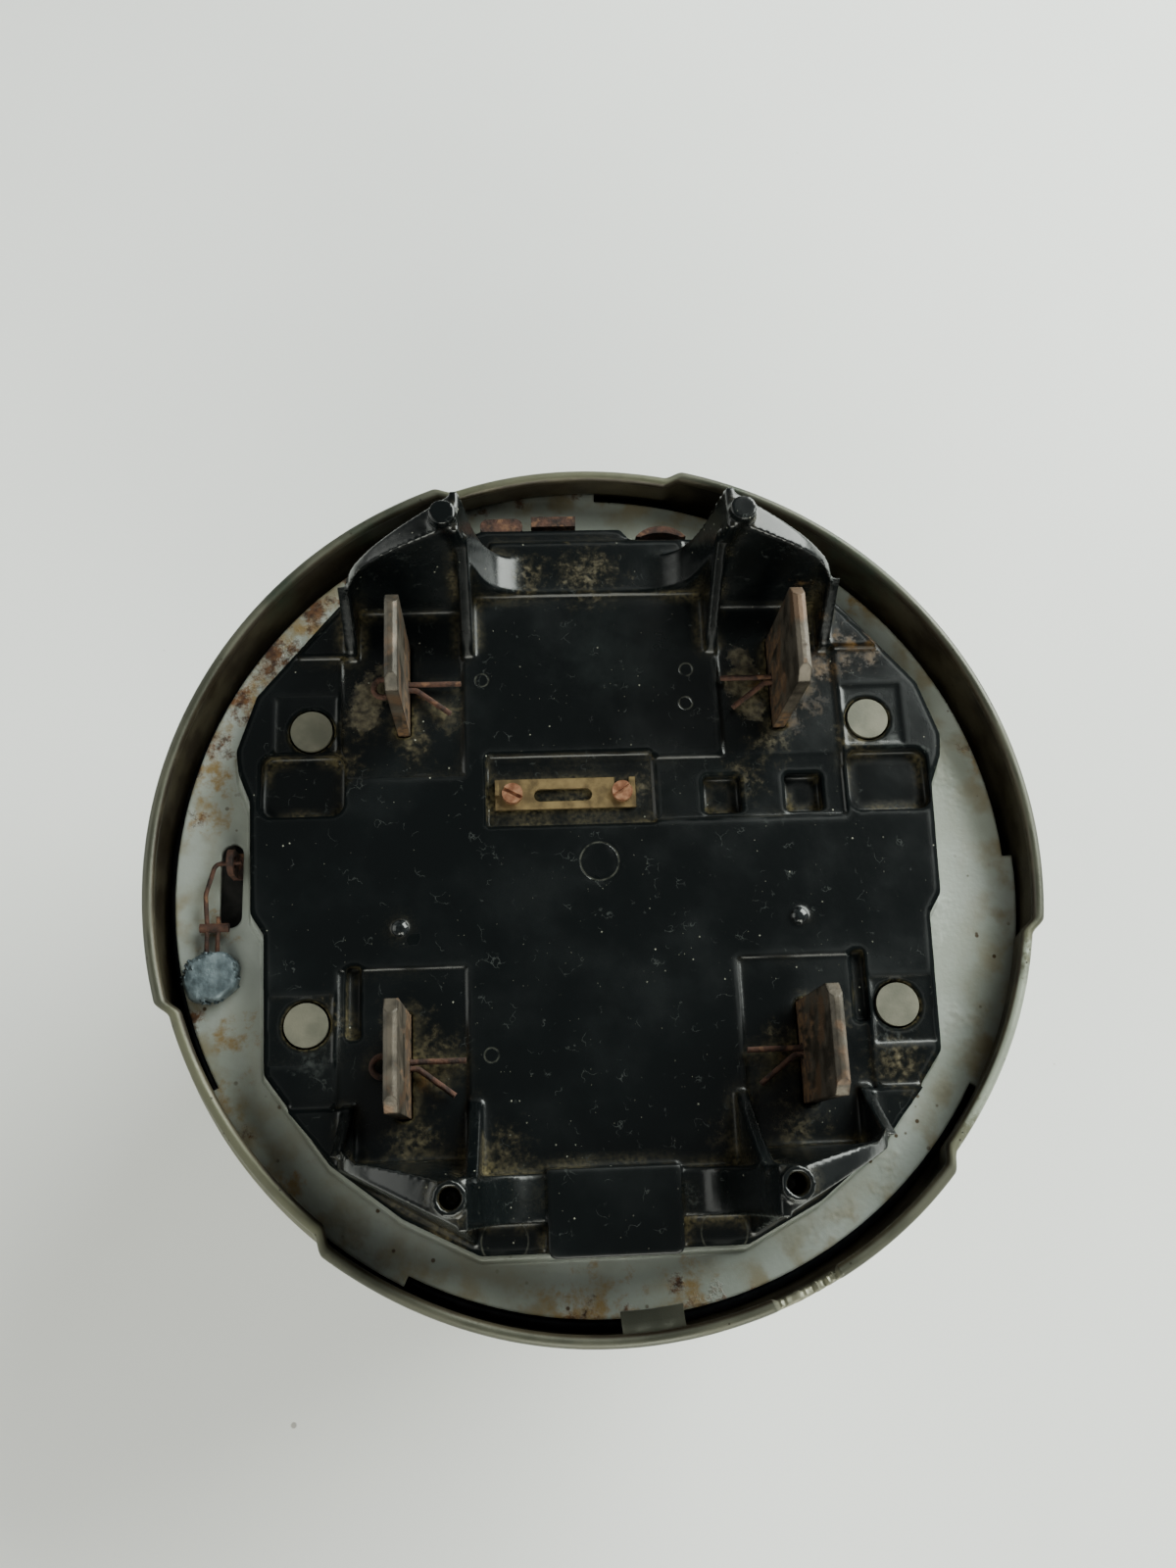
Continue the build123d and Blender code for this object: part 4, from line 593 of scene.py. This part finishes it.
# Round the test link the block keeps its exact shape, with the recess a hair wider and deeper,
# so that the link swings free of it.
link_low, link_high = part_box("test_link")
link_reach = 4.0 * MM
link_clearance = 0.2 * MM
recess_lip = (block_face - 0.3) * MM
exact_block = BVHTree.FromObject(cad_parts["terminal_block"],
                                 bpy.context.evaluated_depsgraph_get())
for vertex in moulded_block.data.vertices:
    if all(link_low[axis] - link_reach < vertex.co[axis] < link_high[axis] + link_reach
           for axis in range(3)):
        spot, facing = exact_block.find_nearest(vertex.co)[:2]
        vertex.co = spot - facing * (link_clearance if spot.z < recess_lip else 0.0)
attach(moulded_block, "base")
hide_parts("terminal_block")

# Two glossy domes stand between the blades, where the tool's vents were ground smooth.
dome_radius = 1.75 * MM
dome_height = 1.15 * MM
dome_spokes = 28
dome_rings = 8
dome_points, dome_faces = [], []
for dome_x in (-38.8 * MM, 38.8 * MM):
    start = len(dome_points)
    for ring in range(dome_rings):
        tilt = math.pi / 2 * ring / dome_rings
        for spoke in range(dome_spokes):
            swing = 2 * math.pi * spoke / dome_spokes
            dome_points.append((dome_x + dome_radius * math.cos(tilt) * math.cos(swing),
                                -11.3 * MM + dome_radius * math.cos(tilt) * math.sin(swing),
                                (block_face - 0.1) * MM + dome_height * math.sin(tilt)))
    for ring in range(dome_rings - 1):
        for spoke in range(dome_spokes):
            low = start + ring * dome_spokes
            after = (spoke + 1) % dome_spokes
            dome_faces.append((low + spoke, low + after, low + dome_spokes + after,
                               low + dome_spokes + spoke))
    dome_faces.append(tuple(range(start + dome_spokes - 1, start - 1, -1)))
    crown = start + (dome_rings - 1) * dome_spokes
    dome_faces.append(tuple(range(crown, crown + dome_spokes)))

# Phenolic as the tool left it in the vents: a little greyer than the flats and glossier.
polished, tree, place = new_finish("polished_phenolic")
polished_tone = clouded(tree, place, 0.8 * MM, 0.35, 0.65, "#0a0d0e", "#181c1d")
close_finish(tree, {"Base Color": polished_tone, "IOR": 1.52, "Roughness": 0.14})

vent_domes = build_piece("vent_domes", dome_points, dome_faces, polished)
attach(vent_domes, "base")


# ----------------------------------------------------------------------------
# Plug-in blades. Four flat bars of tinned copper; the tin has gone brown-grey, the copper shows
# pink at the wiped edges, and rust from the split pins has crept up from the block.

blade_copper, tree, place = new_finish("tarnished_tinned_copper")
tin = clouded(tree, place, 5 * MM, 0.35, 0.65, "#2d2922", "#585147", detail=7.0)
wiped = patches(tree, place, 7 * MM, 0.52, 0.64, detail=5.0)
climb = add(tree, "SeparateXYZ", {"Vector": place}).outputs["Z"]
creep = add(tree, "MapRange", {"Value": climb, "From Min": 140 * MM, "From Max": 123 * MM})
# Streaks run up the blade: the noise is stretched five times along Z.
upright = add(tree, "VectorMath", {0: place, 1: (1.0, 1.0, 0.2)}, operation="MULTIPLY")
streak = add(tree, "TexNoise", {"Vector": upright, "Scale": 1 / (2.6 * MM), "Detail": 6.0})
rust_sum = add(tree, "Math", {0: creep, 1: 0.35, 2: streak}, operation="MULTIPLY_ADD")
blade_rust = add(tree, "MapRange", {"Value": rust_sum, "From Min": 0.60, "From Max": 0.76},
                 interpolation_type="SMOOTHSTEP")
rust_tone = clouded(tree, place, 1.5 * MM, 0.35, 0.65, "#2e2014", "#5d4429")
blade_edge = add(tree, "Bevel", {"Radius": 0.5 * MM}, samples=6)
hard_normal = add(tree, "NewGeometry", {}).outputs["Normal"]
edge_turn = add(tree, "VectorMath", {0: blade_edge, 1: hard_normal}, operation="DOT_PRODUCT")
# Painted shade: the blades are darkened within half a millimetre of every edge, which covers much of
# their thin sides.
painted_edge_shade = add(tree, "MapRange", {"Value": edge_turn.outputs["Value"], "From Min": 0.98,
                                   "From Max": 0.75, "To Max": 0.7})
blade_colour = layered(tree, tin, [(wiped, "#5f4b3a"), (blade_rust, rust_tone),
                                   (painted_edge_shade, "#211a15")])
blade_shine = add(tree, "MapRange", {"Value": blade_rust, "To Min": 0.50, "To Max": 0.0})
blade_dull = add(tree, "MapRange", {"Value": blade_rust, "To Min": 0.48, "To Max": 0.9})
pits = add(tree, "TexNoise", {"Vector": place, "Scale": 1 / (0.7 * MM), "Detail": 5.0})
blade_bump = add(tree, "Bump", {"Strength": 0.5, "Distance": 0.15 * MM, "Height": pits,
                                "Normal": blade_edge})
close_finish(tree, {"Base Color": blade_colour, "Metallic": blade_shine, "Roughness": blade_dull,
                    "Normal": blade_bump})
for blade in ("line_blade_left", "line_blade_right", "load_blade_left", "load_blade_right"):
    coat(blade, blade_copper)


# ----------------------------------------------------------------------------
# Rusted steel: split pins through the blades, the clips behind the block's top edge, the seal
# hasp and its wire. Bare low-carbon steel, now scaled dark red-brown all over.

rusted_steel, tree, place = new_finish("scaled_rusty_steel")
scale_tint = clouded(tree, place, 1.8 * MM, 0.32, 0.68, "#20130e", "#4b3024", detail=8.0)
rust_colour = clouded(tree, place, 3.0 * MM, 0.58, 0.68, scale_tint, "#664833", detail=6.0)
flake_bump = grained(tree, place, 0.5 * MM, 6.0, 0.9, 0.25 * MM)
close_finish(tree, {"Base Color": rust_colour, "Roughness": 0.88, "Normal": flake_bump})
for rusty_piece in ("cotter_pins", "edge_clips", "seal_hasp", "seal_wire"):
    coat(rusty_piece, rusted_steel)


# ----------------------------------------------------------------------------
# Base rivets. Flat nickelled heads, faced off level with the block and dulled by handling.

def metal_finish(name, dark, light, cloud, shine, dull, grain=0.4, relief=0.08):
    """A metal that clouds between two colours; cloud, grain and relief are in millimetres."""
    material, tree, place = new_finish(name)
    tone = clouded(tree, place, cloud * MM, 0.32, 0.68, dark, light, detail=6.0)
    bump = grained(tree, place, grain * MM, 4.0, 0.3, relief * MM)
    close_finish(tree, {"Base Color": tone, "Metallic": shine, "Roughness": dull, "Normal": bump})
    return material


# Nickel plate gone matt: a warm grey-green with hardly any reflection left.
dulled_nickel = metal_finish("dulled_nickel_plate", "#535348", "#676558", 5.0, 0.35, 0.55)
coat("base_rivets", dulled_nickel)


# ----------------------------------------------------------------------------
# Test link and its screws. A strip of half-hard brass gone dull, under two slotted screws whose
# heads are brighter because a driver has been on them.

# Rolled strip brass, brown in the slot and yellow where the screws rub.
link_brass = metal_finish("dull_strip_brass", "#54462e", "#83704c", 3.0, 0.6, 0.48)
coat("test_link", link_brass)

# Turned bronze: pinkish, with the fine circular finish of the lathe lost to handling.
screw_bronze = metal_finish("turned_screw_bronze", "#7e523c", "#b98b6d", 1.6, 0.75, 0.4, 0.3, 0.06)
coat("link_screws", screw_bronze)


# ----------------------------------------------------------------------------
# Lead seal. A soft slug pressed over the two wire ends with a plier, so it is lumpy and dented;
# lead weathers to a blue-grey skin with a paler bloom in clouds.

lead, tree, place = new_finish("weathered_lead")
bloom = clouded(tree, place, 3.2 * MM, 0.34, 0.74, "#414c51", "#717e83", detail=6.0)
lead_bump = grained(tree, place, 0.7 * MM, 6.0, 0.7, 0.25 * MM)
close_finish(tree, {"Base Color": bloom, "Metallic": 0.35, "Roughness": 0.5, "Normal": lead_bump})

seal_slug = rubbed_copy("lead_seal", "seal_slug", 0.25 * MM, 45, 1.0, lead)
for vertex in seal_slug.data.vertices:
    lump = noise.noise(vertex.co * 230.0) + 0.45 * noise.noise(vertex.co * 620.0)
    vertex.co += vertex.normal * (0.42 * MM * lump - 0.25 * MM)
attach(seal_slug, "base")
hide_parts("lead_seal")


# ----------------------------------------------------------------------------
# Glass cup. One pressing of clear soda-lime glass with a ground lip; a film of house dust makes
# its outside a little less sharp in clouds.

cup_glass, tree, place = new_finish("pressed_soda_lime_glass")
film = patches(tree, place, 18 * MM, 0.45, 0.75, detail=6.0)
film_dull = add(tree, "MapRange", {"Value": film, "To Min": 0.02, "To Max": 0.16})
cup_bump = grained(tree, place, 16 * MM, 1.0, 0.08, 0.3 * MM)
close_finish(tree, {"Base Color": "#f0f7f2", "Roughness": film_dull,
                    "IOR": 1.5, "Transmission Weight": 1.0, "Normal": cup_bump})
coat("glass_cover", cup_glass)


# ----------------------------------------------------------------------------
# Spring ring and gasket. A blued round-wire ring presses the glass lip against a neoprene ring.

# Blued spring wire: nearly black, with a low blue sheen.
blued_wire = metal_finish("blued_spring_wire", "#191c22", "#34353a", 6.0, 0.8, 0.4)
coat("glass_spring_ring", blued_wire)

# Moulded neoprene: charcoal, dull, dusted with talc.
neoprene = metal_finish("talced_neoprene", "#141414", "#2b2a28", 4.0, 0.0, 0.85, 0.8, 0.15)
coat("cover_gasket", neoprene)


# ----------------------------------------------------------------------------
# Meter frame and its screws. A sand casting of aluminium alloy that carries everything inside
# the glass, held to the block and to the cores by zinc-plated steel screws.

# Sand-cast aluminium: pale grey and grainy, with a 0.8 mm sand texture and no polish.
cast_aluminium = metal_finish("sand_cast_aluminium", "#8f9294", "#b2b4b4", 9.0, 0.7, 0.55, 0.8, 0.35)
coat("meter_frame", cast_aluminium)

# Zinc plate with clear passivation: bright grey with a faint straw tint.
zinc_plate = metal_finish("passivated_zinc_plate", "#8d8d84", "#b9b8ab", 2.5, 0.9, 0.32)
for screw_set in ("frame_screws", "core_screws", "full_load_screw", "light_load_screw",
                  "register_screws", "nameplate_screws"):
    coat(screw_set, zinc_plate)


# ----------------------------------------------------------------------------
# Cores. Stacks of punched silicon steel, blue-black from annealing, the sheet edges showing as
# fine lines across the stack.

stacked_steel, tree, place = new_finish("stacked_silicon_steel")
# Sheets are 0.5 mm thick; the lines are drawn 2 mm apart so that they still show.
sheet_lines = add(tree, "TexWave", {"Vector": place, "Scale": 1 / (6.3 * MM), "Distortion": 0.3},
                  bands_direction="Z")
annealed = clouded(tree, place, 8 * MM, 0.35, 0.65, "#23262c", "#43454a")
lined = add(tree, "MixRGB", {"Fac": sheet_lines.outputs["Fac"], "Color1": "#1b1c20",
                             "Color2": annealed})
stack_bump = add(tree, "Bump", {"Strength": 0.5, "Distance": 0.12 * MM,
                                "Height": sheet_lines.outputs["Fac"]})
close_finish(tree, {"Base Color": lined, "Metallic": 0.7, "Roughness": 0.48, "Normal": stack_bump})
for core in ("voltage_core", "current_core"):
    coat(core, stacked_steel)


# ----------------------------------------------------------------------------
# Coils and leads. The voltage coil is thousands of fine turns under varnished cotton tape; the
# current coils are four turns of bare strap; the leads run in woven sleeving.

# Varnished tape: amber-brown, 9 mm wide laps with a darker edge where each lap ends.
cotton_tape, tree, place = new_finish("varnished_cotton_tape")
laps = add(tree, "TexWave", {"Vector": place, "Scale": 1 / (6.3 * 4 * MM), "Distortion": 1.2},
           wave_profile="SAW", bands_direction="DIAGONAL")
lap_edge = add(tree, "MapRange", {"Value": laps.outputs["Fac"], "From Min": 0.8, "From Max": 1.0})
varnish = clouded(tree, place, 7 * MM, 0.3, 0.7, "#6f4a23", "#94682f")
tape_colour = layered(tree, varnish, [(lap_edge, "#3b2814")])
threads = add(tree, "TexNoise", {"Vector": place, "Scale": 1 / (0.5 * MM), "Detail": 3.0})
tape_relief = add(tree, "Math", {0: threads, 1: 0.3, 2: laps.outputs["Fac"]},
                  operation="MULTIPLY_ADD")
tape_bump = add(tree, "Bump", {"Strength": 0.6, "Distance": 0.3 * MM, "Height": tape_relief})
close_finish(tree, {"Base Color": tape_colour, "Roughness": 0.42, "IOR": 1.5, "Normal": tape_bump})
coat("voltage_coil", cotton_tape)

# Drawn copper strap: brown-red, brighter where it was bent.
strap_copper = metal_finish("drawn_strap_copper", "#7a452b", "#b3704b", 7.0, 0.95, 0.36)
for strap_coil in ("current_coil_left", "current_coil_right"):
    coat(strap_coil, strap_copper)

# Woven sleeving soaked in oil varnish: yellow-brown with a 1 mm weave.
woven_sleeve = metal_finish("varnished_woven_sleeve", "#4b3f22", "#8a7433", 1.0, 0.0, 0.6, 0.9, 0.3)
coat("voltage_leads", woven_sleeve)


# ----------------------------------------------------------------------------
# Rotor and its bearings. An aluminium disc on a ground steel shaft with the register's worm cut
# in it, between two turned brass bearings; the rim of the disc is marked off in hundredths.

disc_low, disc_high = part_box("rotor_disc")
disc_middle = (disc_low + disc_high) / 2
disc_radius = (disc_high.z - disc_low.z) / 2

# Rolled disc aluminium: bright, with faint rings left by the trueing lathe, 1.5 mm apart.
disc_metal, tree, place = new_finish("turned_disc_aluminium")
from_axis = add(tree, "VectorMath", {0: place, 1: tuple(disc_middle)}, operation="SUBTRACT")
from_axis = add(tree, "VectorMath", {0: from_axis}, operation="LENGTH")
ring_phase = add(tree, "Math", {0: from_axis.outputs["Value"], 1: 2 * math.pi / (1.5 * MM)},
                 operation="MULTIPLY")
rings = add(tree, "Math", {0: ring_phase}, operation="SINE")
ring_tone = add(tree, "MapRange", {"Value": rings, "From Min": -1.0})
disc_colour = add(tree, "MixRGB", {"Fac": ring_tone, "Color1": "#b4b7ba", "Color2": "#cfd2d4"})
disc_dull = add(tree, "MapRange", {"Value": ring_tone, "To Min": 0.22, "To Max": 0.34})
close_finish(tree, {"Base Color": disc_colour, "Metallic": 1.0, "Roughness": disc_dull})
coat("rotor_disc", disc_metal)

# Ground shaft steel: grey, smooth, lightly oiled.
ground_steel = metal_finish("ground_shaft_steel", "#6d6f72", "#94969a", 5.0, 1.0, 0.25)
coat("rotor_shaft", ground_steel)

# Turned brass: warm yellow, darker with age.
turned_brass = metal_finish("turned_bearing_brass", "#86693a", "#b0904f", 4.0, 0.95, 0.3)
for bearing in ("upper_bearing", "lower_bearing"):
    coat(bearing, turned_brass)

# Black ink, printed: dense and slightly glossy, with worn patches.
black_ink = metal_finish("printed_black_ink", "#0c0c0d", "#1e1d1c", 2.0, 0.0, 0.45)

mark_count = 50
mark_width = 0.5 * MM
flag_width = 9.0 * MM
mark_height = 0.8 * MM
mark_lift = 0.05 * MM
disc_mark_points, disc_mark_faces = [], []
for mark in range(mark_count):
    width = flag_width if mark == 0 else mark_width
    columns = 9 if mark == 0 else 2
    start = len(disc_mark_points)
    for column in range(columns):
        swing = 2 * math.pi * mark / mark_count + (column / (columns - 1) - 0.5) * width / disc_radius
        reach = disc_radius + mark_lift
        for level in (-0.5, 0.5):
            disc_mark_points.append((disc_middle.x + reach * math.sin(swing),
                                     disc_middle.y + level * mark_height,
                                     disc_middle.z - reach * math.cos(swing)))
    for column in range(columns - 1):
        corner = start + 2 * column
        disc_mark_faces.append((corner, corner + 2, corner + 3, corner + 1))
disc_marks = build_piece("disc_marks", disc_mark_points, disc_mark_faces, black_ink)
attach(disc_marks, "rotor")


# ----------------------------------------------------------------------------
# Brake magnets. Sintered blocks in grey lacquer, either side of the disc, that hold its speed.

# Stoved hammer lacquer: mid grey with 2 mm dimples.
hammer_lacquer = metal_finish("stoved_hammer_lacquer", "#5a5e61", "#74787a", 2.0, 0.3, 0.35, 2.0, 0.6)
for magnet in ("brake_magnet_left", "brake_magnet_right"):
    coat(magnet, hammer_lacquer)


# ----------------------------------------------------------------------------
# Register. Sheet brass plates on turned pillars carry the worm wheel and five arbors; a white
# enamelled dial in front has four circles of ten, turning by turns left and right.

# Clock brass: rolled sheet, stoned flat, lacquered and now a little brown.
clock_brass = metal_finish("lacquered_clock_brass", "#8a6c35", "#b8954f", 10.0, 0.9, 0.33)
for brass_piece in ("register_front_plate", "register_back_plate", "register_rear_plate",
                    "register_pillars", "worm_wheel", "transfer_arbor", "pointer_arbor_1",
                    "pointer_arbor_2", "pointer_arbor_3", "pointer_arbor_4"):
    coat(brass_piece, clock_brass)

# Stoved white enamel: glossy ivory white with faint age clouds.
dial_white = metal_finish("stoved_white_enamel", "#dcdad0", "#ebe9e0", 12.0, 0.0, 0.3, 1.5, 0.05)
coat("dial_plate", dial_white)
for dial in range(1, 5):
    coat("pointer_" + str(dial), black_ink)

dial_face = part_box("dial_plate")[0].z
print_lift = 0.06 * MM
tick_inside = 6.0 * MM
tick_outside = 7.1 * MM
tick_half = 0.16 * MM
numeral_radius = 4.6 * MM
numeral_size = 2.5 * MM
circle_radius = 7.3 * MM
circle_line = 0.18 * MM


def dial_spot(centre, radius, turn):
    """A point of a dial circle; turn is clockwise from the top as the dial's reader sees it."""
    return Vector((centre.x - radius * math.sin(turn), centre.y + radius * math.cos(turn),
                   dial_face - print_lift))


print_mesh = bmesh.new()
for dial in range(1, 5):
    arbor_low, arbor_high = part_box("pointer_arbor_" + str(dial))
    pointer_low, pointer_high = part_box("pointer_" + str(dial))
    centre = Vector(((pointer_low.x + pointer_high.x) / 2, (arbor_low.y + arbor_high.y) / 2, 0.0))
    way = 1 if dial % 2 else -1
    for numeral in range(10):
        turn = way * 2 * math.pi * numeral / 10
        along = dial_spot(centre, 1.0, turn) - dial_spot(centre, 0.0, turn)
        across = Vector((along.y, -along.x, 0.0)) * tick_half
        corners = [dial_spot(centre, tick_inside, turn) - across,
                   dial_spot(centre, tick_inside, turn) + across,
                   dial_spot(centre, tick_outside, turn) + across,
                   dial_spot(centre, tick_outside, turn) - across]
        print_mesh.faces.new([print_mesh.verts.new(corner) for corner in corners])
        figure = bpy.data.curves.new("figure", "FONT")
        figure.body = str(numeral)
        figure.size = numeral_size
        figure.align_x = "CENTER"
        figure.align_y = "CENTER"
        writing = bpy.data.objects.new("figure", figure)
        figure_mesh = bpy.data.meshes.new_from_object(writing)
        # The reader looks along +Z with +Y up, so the figure is turned round its upright.
        for vertex in figure_mesh.vertices:
            turned = Vector((-vertex.co.x, vertex.co.y, 0.0))
            vertex.co = turned + dial_spot(centre, numeral_radius, turn)
        print_mesh.from_mesh(figure_mesh)
        bpy.data.objects.remove(writing)
        bpy.data.meshes.remove(figure_mesh)
    circle = []
    for step in range(64):
        turn = 2 * math.pi * step / 64
        circle.append((print_mesh.verts.new(dial_spot(centre, circle_radius, turn)),
                       print_mesh.verts.new(dial_spot(centre, circle_radius + circle_line, turn))))
    for step in range(64):
        near, far = circle[step], circle[(step + 1) % 64]
        print_mesh.faces.new((near[0], near[1], far[1], far[0]))
bmesh.ops.recalc_face_normals(print_mesh, faces=print_mesh.faces)
printed_mesh = bpy.data.meshes.new("dial_figures")
print_mesh.to_mesh(printed_mesh)
print_mesh.free()
printed_mesh.materials.append(black_ink)
dial_figures = bpy.data.objects.new("dial_figures", printed_mesh)
bpy.context.collection.objects.link(dial_figures)
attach(dial_figures, "base")


# ----------------------------------------------------------------------------
# Nameplate. A blank anodised aluminium plate below the dial with a printed border and rules.

# Clear-anodised sheet: silver, satin, fine brushing across the plate.
anodised, tree, place = new_finish("clear_anodised_sheet")
brushed = add(tree, "VectorMath", {0: place, 1: (0.05, 1.0, 1.0)}, operation="MULTIPLY")
brush = add(tree, "TexNoise", {"Vector": brushed, "Scale": 1 / (0.5 * MM), "Detail": 4.0})
silver = add(tree, "MixRGB", {"Fac": brush, "Color1": "#8b8d8e", "Color2": "#b3b5b6"})
brush_bump = add(tree, "Bump", {"Strength": 0.3, "Distance": 0.05 * MM, "Height": brush})
close_finish(tree, {"Base Color": silver, "Metallic": 0.9, "Roughness": 0.38, "Normal": brush_bump})
coat("nameplate", anodised)

plate_low, plate_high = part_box("nameplate")
border_inset = 2.4 * MM
border_line = 0.5 * MM
border_half_x = plate_high.x - 22 * MM
border_top = plate_high.y - border_inset
border_bottom = plate_low.y + 13.0 * MM
rule_gap = (border_top - border_bottom) / 4
bars = [(-border_half_x, border_half_x, border_bottom + rule_gap * line - border_line / 2,
         border_bottom + rule_gap * line + border_line / 2) for line in range(5)]
bars += [(side * border_half_x - border_line / 2, side * border_half_x + border_line / 2,
          border_bottom, border_top) for side in (-1, 1)]
rule_points, rule_faces = [], []
for left, right, bottom, top in bars:
    start = len(rule_points)
    level = plate_low.z - print_lift
    rule_points += [(left, bottom, level), (left, top, level), (right, top, level),
                    (right, bottom, level)]
    rule_faces.append((start, start + 1, start + 2, start + 3))
nameplate_rules = build_piece("nameplate_rules", rule_points, rule_faces, black_ink)
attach(nameplate_rules, "base")
